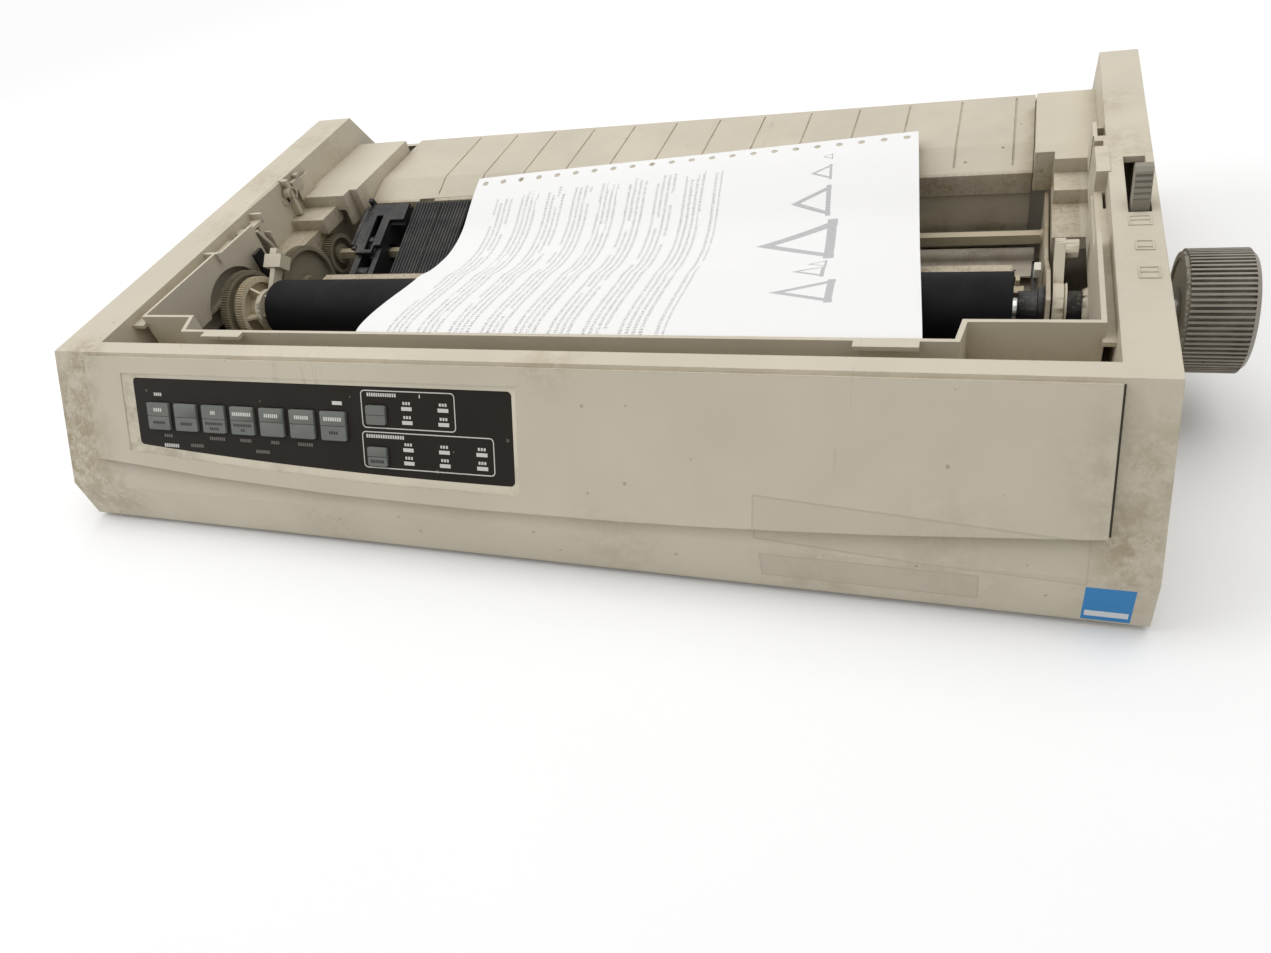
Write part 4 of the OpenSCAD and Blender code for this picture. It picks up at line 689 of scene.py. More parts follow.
def form_finish(form):
    """Paper with grey rows of dots and a few hollow triangles, in form coordinates."""
    finish = Finish("form_paper", roughness=0.75)
    graph = finish.graph
    corner = (-FORM_CORNER.x * PER_METRE, -FORM_CORNER.y * PER_METRE, 0)
    where = graph.place(shift=corner, scale=(PER_METRE,) * 3)
    inputs = {"Vector": where, "Rotation": (0, 0, -FORM_SKEW)}
    turned = graph.add("ShaderNodeMapping", inputs, vector_type="POINT")
    parts = graph.axes(turned.outputs["Vector"])
    across, along = parts["X"], parts["Y"]
    marks = [
        finish.group("Form mark", Across=across, Along=along, At_across=foot, At_along=at, Size=size)["Ink"]
        for foot, at, size in FORM_MARKS
    ]
    stripe = graph.maths(
        "COMPARE", graph.maths("FRACT", graph.maths("DIVIDE", along, FORM_STRIPE)), 0.4, 0.4
    )
    striped = graph.product(graph.fold("MAXIMUM", marks), stripe)
    ink = graph.maths("MAXIMUM", form_rows(graph, form, across, along), striped)
    fibre = graph.noise(graph.place(scale=(1, 0.4, 1)), 900.0, detail=3.0, rough=0.7)
    sheet = graph.blend(graph.span(fibre, 0.3, 0.7), shade(form.paper, 0.985), form.paper)
    finish.colour(graph.blend(graph.product(ink, FORM_INK_STRENGTH), sheet, FORM_INK))
    finish.bump(fibre, 0.00001)
    return finish.material


# ---------------------------------------------------------------- dressing CAD nodes

# Rounding: points closer than this are one, and faces that differ less than this are flat
SAME_POINT = 0.004 * MM
SAME_PLANE = math.radians(1.0)
SHARP_EDGE = math.radians(32.0)


def soften(node, radius, segments=2):
    """Rounds a CAD node's edges with modifiers, without touching its mesh."""
    shape = frame["nodes"][node]
    weld = shape.modifiers.new("Weld", "WELD")
    weld.merge_threshold = SAME_POINT
    flat = shape.modifiers.new("Flat faces", "DECIMATE")
    flat.decimate_type = "DISSOLVE"
    flat.angle_limit = SAME_PLANE
    # Large flat faces with holes twist when they are rounded, so they are split first
    short = shape.modifiers.new("Short faces", "TRIANGULATE")
    short.min_vertices = 5
    bevel = shape.modifiers.new("Rounded edges", "BEVEL")
    bevel.width = radius
    bevel.segments = segments
    bevel.limit_method = "ANGLE"
    bevel.angle_limit = SHARP_EDGE
    bevel.use_clamp_overlap = True
    bevel.miter_outer = "MITER_ARC"
    bevel.harden_normals = True


def dress(nodes, material, radius=None, segments=2):
    """Gives CAD nodes a material and, where a radius is given, rounded edges."""
    for node in nodes:
        shape = frame["nodes"][node]
        shape.data.materials.clear()
        shape.data.materials.append(material)
        if radius:
            soften(node, radius, segments)


def settings():
    return bpy.context.scene.printer_dressing


# ---------------------------------------------------------------- pieces made in code


def new_mesh(name, fill):
    """A mesh that fill(shape) builds."""
    mesh = bpy.data.meshes.new(name)
    shape = bmesh.new()
    fill(shape)
    shape.to_mesh(mesh)
    shape.free()
    return mesh


def new_object(name, data):
    """An object in the scene that shows the data."""
    thing = bpy.data.objects.new(name, data)
    bpy.context.scene.collection.objects.link(thing)
    return thing


def add_piece(name, build, material, body, place=Matrix.Identity(4), bevel=0.0):
    """A new mesh piece, made in code, that rides on a body."""

    def fill(shape):
        build(shape)
        bmesh.ops.transform(shape, matrix=place, verts=shape.verts)
        bmesh.ops.recalc_face_normals(shape, faces=shape.faces)

    mesh = new_mesh(name, fill)
    mesh.materials.append(material)
    piece = new_object(name, mesh)
    if bevel:
        rounding = piece.modifiers.new("Rounded edges", "BEVEL")
        rounding.width = bevel
        rounding.segments = 2
    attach(piece, body)
    return piece


def join_loops(shape, a, b):
    """Faces between two closed loops of as many vertices."""
    for i in range(len(a)):
        j = (i + 1) % len(a)
        shape.faces.new((a[i], a[j], b[j], b[i]))


def close_prism(shape, low, high):
    """A solid between two outlines of vertices."""
    shape.faces.new(low[::-1])
    shape.faces.new(high)
    join_loops(shape, low, high)


def close_rings(shape, rings):
    """Joins loops of points, in metres, into a closed ring of faces."""
    loops = [[shape.verts.new(point) for point in ring] for ring in rings]
    for a, b in zip(loops, loops[1:] + loops[:1]):
        join_loops(shape, a, b)


def rounded_outline(width, height, radius, steps=5):
    """Corner points of a rounded rectangle about its middle."""
    points = []
    for k, (sx, sy) in enumerate(((1, 1), (-1, 1), (-1, -1), (1, -1))):
        cx, cy = sx * (width / 2 - radius), sy * (height / 2 - radius)
        for i in range(steps + 1):
            a = math.pi / 2 * (k + i / steps)
            points.append((cx + radius * math.cos(a), cy + radius * math.sin(a)))
    return points


def add_frame_line(shape, width, height, line):
    """A closed printed line with rounded corners."""
    outer = rounded_outline(width, height, FRAME_CORNER)
    inner_corner = max(FRAME_CORNER - line, 0.2 * MM)
    inner = rounded_outline(width - 2 * line, height - 2 * line, inner_corner)
    levels = ((outer, 0), (outer, INK_THICK), (inner, INK_THICK), (inner, 0))
    close_rings(shape, [[(x, y, z) for x, y in points] for points, z in levels])


def add_block(shape, x, y, z):
    """A box between two limits along each axis, in case millimetres."""
    corners = [shape.verts.new(case_point(a, b, c)) for a in x for b in y for c in z]
    for quad in ((0, 1, 3, 2), (4, 6, 7, 5), (0, 4, 5, 1), (2, 3, 7, 6), (0, 2, 6, 4), (1, 5, 7, 3)):
        shape.faces.new([corners[i] for i in quad])


def add_blocks(shape, blocks):
    for block in blocks:
        add_block(shape, *block)


def turned_point(x, r, angle, axis):
    """A place x along an axis (y, z) and r from it at that angle, in case millimetres."""
    return case_point(x, axis[0] + r * math.cos(angle), axis[1] + r * math.sin(angle))


def add_lathe(shape, profile, axis, steps=56):
    """A closed outline of (x, radius) turned about the X direction through axis (y, z)."""
    angles = [2 * math.pi * k / steps for k in range(steps)]
    close_rings(shape, [[turned_point(x, r, a, axis) for x, r in profile] for a in angles])


def band_outline(x, radii):
    """An outline of (x, radius) between two x limits and two radii."""
    return ((x[0], radii[0]), (x[0], radii[1]), (x[1], radii[1]), (x[1], radii[0]))


# Half a tooth's width at its foot and at its tip, as a share of the pitch
TOOTH_FOOT, TOOTH_TIP = 0.27, 0.13


def add_toothed_ring(shape, teeth, module, x, bore, axis, phase):
    """A ring with fine straight-sided teeth, open inside its bore."""
    root, tip = module * (teeth / 2 - 1.25), module * (teeth / 2 + 0.9)
    corners = ((-TOOTH_FOOT, root), (-TOOTH_TIP, tip), (TOOTH_TIP, tip), (TOOTH_FOOT, root))
    outer = [(phase + 2 * math.pi * (k + turn) / teeth, r) for k in range(teeth) for turn, r in corners]
    inner = [(a, bore) for a, r in outer]
    sides = ((outer, x[0]), (outer, x[1]), (inner, x[1]), (inner, x[0]))
    close_rings(shape, [[turned_point(at, r, a, axis) for a, r in loop] for loop, at in sides])


def add_fin(shape, outline, angle, thickness, axis):
    """A flat fin with outline (x, radius), standing along a radius at that angle."""
    sides = []
    for offset in (-thickness / 2, thickness / 2):
        foot = (axis[0] - offset * math.sin(angle), axis[1] + offset * math.cos(angle))
        sides.append([shape.verts.new(turned_point(x, r, angle, foot)) for x, r in outline])
    close_prism(shape, *sides)


def add_bars(shape, bars, h0, h1):
    """Small flat bars on the front face, each (x, s, width, height) about its middle."""
    for x, s, width, height in bars:
        corners = [
            (x + sx * width / 2, s + sy * height / 2) for sx, sy in ((-1, -1), (1, -1), (1, 1), (-1, 1))
        ]
        close_prism(shape, *[
            [shape.verts.new(face_matrix(across, up, h).translation) for across, up in corners]
            for h in (h0, h1)
        ])


def legend(x, s, width, height=1.7):
    """Short even strokes that stand where a legend is printed."""
    count = max(1, round(width / STROKE_PITCH))
    step = width / count
    return [(x - width / 2 + step * (k + 0.5), s, step * STROKE_FILL, height) for k in range(count)]


def strokes(rows):
    """The strokes of several legends."""
    return [bar for row in rows for bar in legend(*row)]


# Printed strokes: their pitch in millimetres, and how much of it is ink
STROKE_PITCH, STROKE_FILL = 1.35, 0.68
# Printed lines, in metres: the radius of a frame's corners, and how thick the ink lies
FRAME_CORNER = 2.2 * MM
INK_THICK = 0.04 * MM


def body_under(node):
    """The body that a CAD node rides on."""
    return body_of(frame["nodes"][node])[0]


# ---------------------------------------------------------------- operators


class PRINTER_OT_groups(bpy.types.Operator):
    """Builds the shader groups that the finishes share"""

    bl_idname = "printer.groups"
    bl_label = "Shared shader groups"

    def execute(self, context):
        for maker in GROUP_MAKERS:
            maker()
        return {"FINISHED"}


class PRINTER_OT_case(bpy.types.Operator):
    """Rounds and finishes the two case halves and the rear guide"""

    bl_idname = "printer.case"
    bl_label = "Case shells"

    def execute(self, context):
        case = settings().case
        shell = moulded(
            "case_shell", case.shell, 0.5, grain=1.0 / case.grain, depth=0.00003, dirt_and_shade_colour=case.dirt_and_shade_colour,
            corner_dirt_and_shade=0.42, reach=0.008, scuffs=0.4, tone=0.04, deep=0.9, specks=0.45, wear=0.5,
            smudges=CASE_SMUDGES, patches=FRONT_PATCHES,
        )
        guide = moulded(
            "guide_beige", shade(case.shell, 0.97), 0.52, grain=1.0 / case.grain, dirt_and_shade_colour=case.dirt_and_shade_colour,
            corner_dirt_and_shade=0.8, reach=0.02, scuffs=0.5, dust=0.2, dust_colour=(0.42, 0.37, 0.28), tone=0.05,
            deep=0.85, specks=0.8, wear=0.3, smudges=GUIDE_SMUDGES,
        )
        add_piece(
            "end_block_skirt", lambda shape: add_blocks(shape, SKIRT_BLOCKS), guide, "chassis",
            bevel=FITTING_EDGE,
        )
        add_piece(
            "rail_marks", lambda shape: [add_mark(shape, *mark) for mark in RAIL_MARKS], shell, "chassis",
        )
        dress(["upper_case", "lower_case"], shell, case.edge_radius, 3)
        dress(["rear_guide"], guide, 0.0005)
        dress(["paper_pan"], guide)
        return {"FINISHED"}


# Smears on the case as ((x, y, z), reach, amount) in case millimetres
CASE_SMUDGES = (
    ((266, -160, 30), 25, 0.75),
    ((258, -156, 22), 16, 0.8),
    ((270, -150, 60), 42, 0.35),
    ((-268, -160, 20), 44, 0.6),
    ((-262, -140, 78), 30, 0.35),
    ((-240, -172, 14), 26, 0.35),
    ((60, -172, 12), 40, 0.22),
    ((150, -172, 10), 34, 0.3),
    ((-100, -172, 10), 36, 0.2),
    ((262, 40, 90), 34, 0.35),
    ((255, 90, 92), 26, 0.4),
    ((-262, 120, 92), 40, 0.3),
    ((-255, 0, 90), 30, 0.25),
    ((30, -130, 88), 26, 0.3),
    ((-272, -150, 50), 50, 0.7),
    ((262, -166, 12), 22, 0.5),
    ((257, -150, 40), 18, 0.55),
    ((-255, -133, 88), 22, 0.5),
    ((-258, 60, 91), 30, 0.35),
    ((200, -168, 24), 40, 0.3),
    ((276, -60, 40), 70, 0.4),
    ((276, -120, 30), 60, 0.45),
    ((-276, 60, 40), 70, 0.3),
    ((0, 172, 40), 90, 0.25),
)

# Smears on the rear guide and the end blocks' steps, in the same form
GUIDE_SMUDGES = (
    ((-236, 112, 88), 40, 0.40),
    ((-228, 70, 78), 30, 0.50),
    ((-190, 92, 84), 34, 0.30),
    ((-100, 96, 84), 30, 0.20),
    ((150, 96, 84), 34, 0.22),
    ((232, 84, 84), 40, 0.45),
    ((236, 40, 66), 34, 0.50),
)

# Patches on the front as x limits, z limits, slope, tint, rim tint and strength
FRONT_PATCHES = (
    ((124.0, 252.0), (27.5, 46.0), -0.056, (0.500, 0.452, 0.350), (0.400, 0.350, 0.255), 0.45),
    ((126.0, 214.0), (7.0, 21.0), -0.010, (0.470, 0.425, 0.345), (0.400, 0.352, 0.270), 0.50),
    ((251.7, 269.0), (0.8, 19.7), 0.0, (0.030, 0.210, 0.480), (0.030, 0.210, 0.480), 1.0),
    ((252.7, 268.0), (3.0, 6.2), 0.0, (0.620, 0.640, 0.660), (0.620, 0.640, 0.660), 1.0),
)

# The left end block's inner wall goes on below the seam, between the two shafts' slots
SKIRT_BLOCKS = (
    ((-229.4, -227.4), (19.0, 47.0), (12.0, 46.0)),
    ((-229.4, -227.4), (56.4, 63.8), (12.0, 46.0)),
    ((-229.4, -227.4), (72.8, 76.4), (12.0, 46.0)),
    ((-229.4, -227.4), (47.0, 56.4), (42.0, 46.0)),
    ((-229.4, -227.4), (63.8, 72.8), (32.5, 46.0)),
)

# Raised marks on the right rail as x, y, width, depth, and how far up it is divided
RAIL_MARKS = (
    (267.6, -27.0, 9.0, 8.0, 0.5),
    (268.4, -46.5, 7.0, 7.5, 0.3),
    (268.8, -66.5, 8.0, 8.5, 0.5),
)
# The rail's height at its front end, where that end lies, and how it rises towards the back
RAIL_Z = 88.4
RAIL_FRONT_Y = -133.0
RAIL_RISE = 4.1 / 288.0


# A raised mark's line, and how far it goes into the rail and stands out of it
MARK_LINE, MARK_SUNK, MARK_PROUD = 0.8, 0.3, 0.35


def add_mark(shape, x, y, width, depth, split):
    """A raised outline with one cross line, lying on the sloping rail."""

    def bar(x0, x1, y0, y1):
        rail = RAIL_Z + (y0 - RAIL_FRONT_Y) * RAIL_RISE
        add_block(shape, (x0, x1), (y0, y1), (rail - MARK_SUNK, rail + MARK_PROUD))

    left, right, near, far = x - width / 2, x + width / 2, y - depth / 2, y + depth / 2
    bar(left, left + MARK_LINE, near, far)
    bar(right - MARK_LINE, right, near, far)
    for at in (near, near + depth * split, far - MARK_LINE):
        bar(left + MARK_LINE, right - MARK_LINE, at, at + MARK_LINE)


class PRINTER_OT_frames(bpy.types.Operator):
    """Finishes the side frames, the floor plate and its screws"""

    bl_idname = "printer.frames"
    bl_label = "Frames and floor plate"

    def execute(self, context):
        case = settings().case
        plate = moulded(
            "frame_plate", shade(case.shell, 0.82), 0.5, dirt_and_shade_colour=case.dirt_and_shade_colour, corner_dirt_and_shade=0.9, reach=0.02,
            scuffs=0.5, dust=0.2, dust_colour=(0.30, 0.24, 0.16), tone=0.1, deep=0.9, specks=0.8, wear=0.4,
        )
        floor = moulded(
            "base_zinc", (0.30, 0.265, 0.205), 0.7, grain=900.0, depth=0.00005, dirt_and_shade_colour=(0.07, 0.055, 0.035),
            corner_dirt_and_shade=0.9, reach=0.03, dust=0.9, dust_colour=(0.40, 0.35, 0.28), tone=0.25, specks=0.8,
        )
        white = moulded(
            "fitting_white", (0.66, 0.63, 0.54), 0.45, dirt_and_shade_colour=(0.2, 0.16, 0.1), corner_dirt_and_shade=0.8, reach=0.004
        )
        black = moulded(
            "fitting_black", (0.014, 0.014, 0.014), 0.4, dust=0.3, dust_colour=(0.12, 0.10, 0.08)
        )
        tan = moulded(
            "fitting_tan", (0.42, 0.36, 0.25), 0.5, dirt_and_shade_colour=FITTING_DIRT_AND_SHADE, corner_dirt_and_shade=0.9, reach=0.005
        )
        dusty = moulded(
            "paper_dust", (0.62, 0.54, 0.43), 0.85, grain=450.0, depth=0.0002, dirt_and_shade_colour=FITTING_DIRT_AND_SHADE,
            corner_dirt_and_shade=0.5, reach=0.006, dust=1.0, dust_colour=(0.74, 0.68, 0.58), tone=0.35, specks=0.9,
        )
        dress(["side_frame_left", "side_frame_right"], plate, 0.0004)
        dress(["chassis_base"], floor)
        finishes = {"plate": plate, "white": white, "black": black, "tan": tan, "dusty": dusty}
        for name, blocks, finish, slot in FITTINGS:
            add_piece(
                name, lambda shape: add_blocks(shape, blocks), finishes[finish], "chassis",
                bevel=FITTING_EDGE,
            )
        add_piece("wall_hook", build_hook, plate, "chassis", bevel=0.0002)
        dress(["screws"], steel("screw_zinc", (0.52, 0.52, 0.50), 0.35), 0.0002)
        return {"FINISHED"}


# Rounding of small parts, and the colour of their dirt and painted corner shade
FITTING_EDGE = 0.3 * MM
FITTING_DIRT_AND_SHADE = (0.16, 0.12, 0.07)

# Small parts on the frames and walls, and one thin sheet of painted shade: name, blocks in case millimetres,
# finish and slot
FITTINGS = (
    (
        "sensor_arm",
        (((228.2, 230.4), (-22, 12), (44, 47)), ((228.2, 230.4), (9, 12), (38, 47))),
        "black", "lever_black",
    ),
    ("sensor_tip", (((229.0, 232.2), (-4, 3), (47.2, 52)),), "white", "lever_cream"),
    ("dust_tray", (((-216, 231), (50, 80), (13.0, 14.2)),), "dusty", "base_zinc"),
    ("rear_ledge", (((-212, 231), (80, 84.6), (19.5, 23.0)),), "dusty", "guide_beige"),
    # Painted shade: a thin black sheet on the left wall stands for the dark inside of a slot
    ("wall_slot_shade", (((-247.2, -246.7), (54.6, 59.4), (76.5, 84.0)),), "black", "lever_black"),
    (
        "wall_step",
        (((-247.0, -243.5), (61.5, 72.0), (80.0, 87.0)), ((-247.0, -243.5), (68.0, 72.0), (87.0, 89.5))),
        "plate", "case_shell",
    ),
    (
        "bearing_saddle",
        (((219, 225), (-16, -10), (36, 47)), ((221, 223), (-10, -5), (36, 50))),
        "tan", "lever_cream",
    ),
)

# The hook on the left wall: its middle (y, z), radii, reach from the wall, and the arc's ends in degrees
HOOK_AT = (57.0, 81.5)
HOOK_RADII = (3.1, 4.7)
HOOK_X = (-247.0, -242.0)
HOOK_ARC = (-75.0, 190.0)
HOOK_STEPS = 20


def build_hook(shape):
    """An open ring that stands out from the left wall."""
    outline = band_outline(HOOK_X, HOOK_RADII)
    loops = []
    for i in range(HOOK_STEPS + 1):
        angle = math.radians(HOOK_ARC[0] + (HOOK_ARC[1] - HOOK_ARC[0]) * i / HOOK_STEPS)
        loops.append([shape.verts.new(turned_point(x, r, angle, HOOK_AT)) for x, r in outline])
    for a, b in zip(loops, loops[1:]):
        join_loops(shape, a, b)
    shape.faces.new(loops[0])
    shape.faces.new(loops[-1][::-1])


class PRINTER_OT_platen(bpy.types.Operator):
    """Finishes the platen, its shafts, bearings and knob"""

    bl_idname = "printer.platen"
    bl_label = "Platen and knob"

    def execute(self, context):
        well = settings().well
        rubber = rubbery("platen_rubber", (0.0055, 0.0055, 0.0060), 0.68, dust=0.12)
        dress(["platen_roller"], rubber, 0.0005)
        dress(
            ["platen_shaft", "guide_shaft", "carriage_rod"],
            steel("shaft_steel", (0.55, 0.54, 0.52), 0.28, stain=0.5),
        )
        dress(["platen_bearings"], moulded("bearing_black", well.black, 0.38, dust=0.3), well.small_radius)
        rollers = rubbery("roller_rubber", (0.03, 0.03, 0.03), 0.6)
        dress(["pinch_rollers_front", "pinch_rollers_rear"], rollers)
        knob = moulded(
            "knob_grey", (0.30, 0.275, 0.225), 0.48, dirt_and_shade_colour=(0.07, 0.06, 0.045), corner_dirt_and_shade=0.9,
            reach=0.004, scuffs=0.3, tone=0.05, specks=0.5, wear=0.5,
        )
        dress(["platen_knob"], knob, 0.0004)
        end = moulded(
            "platen_end", (0.028, 0.028, 0.029), 0.5, dust=0.4, dust_colour=(0.09, 0.085, 0.075), gloss=0.18
        )
        white = moulded(
            "collar_cream", (0.60, 0.55, 0.43), 0.45, dirt_and_shade_colour=(0.20, 0.16, 0.09), corner_dirt_and_shade=0.9,
            reach=0.004, specks=0.7,
        )
        inner_x = case_span("platen_knob")[0]
        cap = band_outline([inner_x + x for x in KNOB_CAP_X], KNOB_CAP_RADII)
        for name, profile, finish, slot in (
            ("platen_end_cap", PLATEN_END, end, "platen_rubber"),
            ("shaft_collar", SHAFT_COLLAR, white, "gear_cream"),
            ("knob_inner_cap", cap, knob, "knob_grey"),
        ):
            add_piece(name, lambda shape: add_lathe(shape, profile, PLATEN_AXIS), finish, "platen")
        return {"FINISHED"}


# The ring on the knob's inner face: x limits from that face, and radii
KNOB_CAP_X = (0.7, 2.2)
KNOB_CAP_RADII = (10.1, 22.7)
# Outlines of (x, radius): the cone at the roller's left end, and the collar by the right rail
PLATEN_END = ((-209.0, 8.1), (-209.0, 12.6), (-207.4, 14.6), (-205.05, 14.6), (-205.05, 8.1))
SHAFT_COLLAR = ((237.6, 6.1), (237.6, 9.0), (242.4, 12.6), (242.4, 6.1))


class PRINTER_OT_gears(bpy.types.Operator):
    """Finishes the gear train and the two motors"""

    bl_idname = "printer.gears"
    bl_label = "Gears and motors"

    def execute(self, context):
        well, case = settings().well, settings().case
        clean = moulded(
            "gear_cream", well.cream, 0.4, dirt_and_shade_colour=shade(case.dirt_and_shade_colour, 0.8), corner_dirt_and_shade=0.7, reach=0.003,
            dust=0.1, dust_colour=(0.3, 0.24, 0.15), specks=0.6,
        )
        worn = moulded(
            "gear_worn", shade(well.cream, 0.42), 0.5, dirt_and_shade_colour=shade(case.dirt_and_shade_colour, 0.55), corner_dirt_and_shade=1.0,
            reach=0.006, dust=0.35, dust_colour=(0.20, 0.155, 0.095), tone=0.2, specks=0.9,
        )
        bar = moulded(
            "bar_cream", (0.46, 0.40, 0.28), 0.45, dirt_and_shade_colour=case.dirt_and_shade_colour, corner_dirt_and_shade=0.6, reach=0.01, tone=0.1
        )
        dress(["space_rack"], clean)
        finishes = {"gear_cream": clean, "gear_worn": worn}
        for node, teeth, x, bore, web, fins, axis, phase, slot in GEARS:
            def build(shape):
                add_toothed_ring(shape, teeth, FINE_MODULE, x, bore, axis, phase)
                add_lathe(shape, web, axis)
                for k in range(fins):
                    turn = phase + 2 * math.pi * (k + FIN_START) / fins
                    add_fin(shape, FIN_OUTLINE, turn, FIN_THICK, axis)

            piece = add_piece(node + "_fine", build, finishes[slot], body_under(node))
            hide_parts(node)
        piece = add_piece(
            "tractor_bar", build_tractor_bar, bar, body_under("tractor_shaft")
        )
        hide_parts("tractor_shaft")
        motor = moulded("motor_shell", (0.05, 0.05, 0.055), 0.4, dust=0.3)
        dress(["feed_motor", "space_motor"], motor, 0.0004)
        brass = steel("pinion_brass", (0.60, 0.42, 0.16), 0.3)
        dress(["space_pinion"], brass)
        pinion = (MOTOR_TEETH, FINE_MODULE, case_span("motor_pinion"), PINION_BORE, MOTOR_AXIS, PINION_PHASE)
        piece = add_piece(
            "motor_pinion_fine", lambda shape: add_toothed_ring(shape, *pinion), brass, "motor_pinion",
        )
        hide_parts("motor_pinion")
        return {"FINISHED"}


# Fine teeth: twice the count at half the module, so every ratio and centre distance stays
FINE_MODULE = 0.5
PLATEN_TEETH, IDLER_TEETH, TRACTOR_TEETH, FEED_TEETH, MOTOR_TEETH = 80, 108, 54, 96, 24


def mesh_phase(phase_a, teeth_a, teeth_b, axis_a, axis_b):
    """Phase at which gear b meshes with gear a."""
    way = math.atan2(axis_b[1] - axis_a[1], axis_b[0] - axis_a[0])
    return way + math.pi + (way - phase_a) * teeth_a / teeth_b + math.pi / teeth_b


IDLER_PHASE = mesh_phase(0.0, PLATEN_TEETH, IDLER_TEETH, PLATEN_AXIS, IDLER_AXIS)
TRACTOR_PHASE = mesh_phase(IDLER_PHASE, IDLER_TEETH, TRACTOR_TEETH, IDLER_AXIS, TRACTOR_AXIS)
PINION_PHASE = mesh_phase(0.0, FEED_TEETH, MOTOR_TEETH, PLATEN_AXIS, MOTOR_AXIS)

# Node, teeth, ring limits, ring bore, web and hub outline, fins, axis, phase and slot
GEARS = (
    (
        "platen_gear", PLATEN_TEETH, (-226.3, -221.2), 17.0,
        (
            (-226.2, 6.1), (-226.2, 17.4), (-224.9, 17.4), (-224.4, 9.2), (-207.5, 8.0), (-205.1, 8.0),
            (-205.1, 6.1),
        ),
        5, PLATEN_AXIS, 0.0, "gear_cream",
    ),
    (
        "idler_gear", IDLER_TEETH, (-226.3, -220.3), 24.2,
        ((-225.2, 4.2), (-225.2, 24.6), (-223.6, 24.6), (-223.2, 8.0), (-219.8, 7.2), (-219.8, 4.2)),
        0, IDLER_AXIS, IDLER_PHASE, "gear_worn",
    ),
    (
        "tractor_gear", TRACTOR_TEETH, (-226.3, -219.4), 11.0,
        ((-225.6, 4.1), (-225.6, 11.3), (-222.5, 11.3), (-222.2, 6.5), (-219.4, 6.5), (-219.4, 4.1)),
        0, TRACTOR_AXIS, TRACTOR_PHASE, "gear_worn",
    ),
    (
        "feed_gear", FEED_TEETH, (-233.5, -229.0), 21.5,
        ((-232.6, 6.1), (-232.6, 21.9), (-230.6, 21.9), (-230.2, 9.0), (-229.0, 9.0), (-229.0, 6.1)),
        0, PLATEN_AXIS, 0.0, "gear_worn",
    ),
)
FIN_OUTLINE = ((-224.9, 8.0), (-224.9, 17.2), (-221.6, 17.2), (-210.0, 8.2), (-210.0, 7.8))

# Where the first fin stands, as a share of the step between fins, and its thickness
FIN_START, FIN_THICK = 0.35, 1.5
PINION_BORE = 1.0

# The tractors' bar: its side, the square part's x limits, and the radii of its round ends
BAR_SIDE = 5.0
BAR_X = (-219.4, 232.4)
BAR_END_RADII = (0.2, 3.9)


def build_tractor_bar(shape):
    """The slim square bar with its round ends, along the tractors' axis."""
    y, z = TRACTOR_AXIS
    half = BAR_SIDE / 2
    add_block(shape, BAR_X, (y - half, y + half), (z - half, z + half))
    low, high = case_span("tractor_shaft")
    for x in ((low, BAR_X[0]), (BAR_X[1], high)):
        add_lathe(shape, band_outline(x, BAR_END_RADII), TRACTOR_AXIS, 24)


class PRINTER_OT_tractors(bpy.types.Operator):
    """Finishes the two tractors, their covers, locks and pin wheels, and the guide between them"""

    bl_idname = "printer.tractors"
    bl_label = "Tractors"

    def execute(self, context):
        well = settings().well
        black = moulded(
            "tractor_black", well.black, 0.36, depth=0.00001, dust=0.35, dust_colour=(0.13, 0.12, 0.10),
            tone=0.2,
        )
        for side in ("left", "right"):
            dress(
                [f"tractor_{side}", f"tractor_{side}_cover", f"tractor_{side}_lock", f"sprocket_{side}"],
                black, well.small_radius,
            )
        dress(["sheet_guide"], black, 0.0002)
        return {"FINISHED"}


class PRINTER_OT_head(bpy.types.Operator):
    """Finishes the carriage and the print head"""

    bl_idname = "printer.head"
    bl_label = "Carriage and head"

    def execute(self, context):
        well = settings().well
        grey = moulded("carriage_grey", (0.035, 0.035, 0.037), 0.45, dust=0.4)
        dress(["carriage"], grey, well.small_radius)
        dress(["print_head"], steel("head_alloy", (0.10, 0.10, 0.11), 0.45), well.small_radius)
        return {"FINISHED"}


class PRINTER_OT_levers(bpy.types.Operator):
    """Finishes the lock levers, the head gap lever and the selector lever"""

    bl_idname = "printer.levers"
    bl_label = "Levers"

    def execute(self, context):
        well, case = settings().well, settings().case
        cream = moulded(
            "lever_cream", (0.56, 0.51, 0.40), 0.42, dirt_and_shade_colour=case.dirt_and_shade_colour, corner_dirt_and_shade=0.8, reach=0.004
        )
        grey = moulded(
            "selector_grey", (0.235, 0.215, 0.170), 0.45, dirt_and_shade_colour=(0.04, 0.034, 0.025), corner_dirt_and_shade=0.9,
            reach=0.003, tone=0.08,
        )
        dress(["lock_lever_left", "lock_lever_right"], cream, well.small_radius)
        dress(["selector_lever"], grey, well.small_radius)
        dress(["head_gap_lever"], moulded("lever_black", (0.015, 0.015, 0.015), 0.35, dust=0.2), 0.0002)
        return {"FINISHED"}


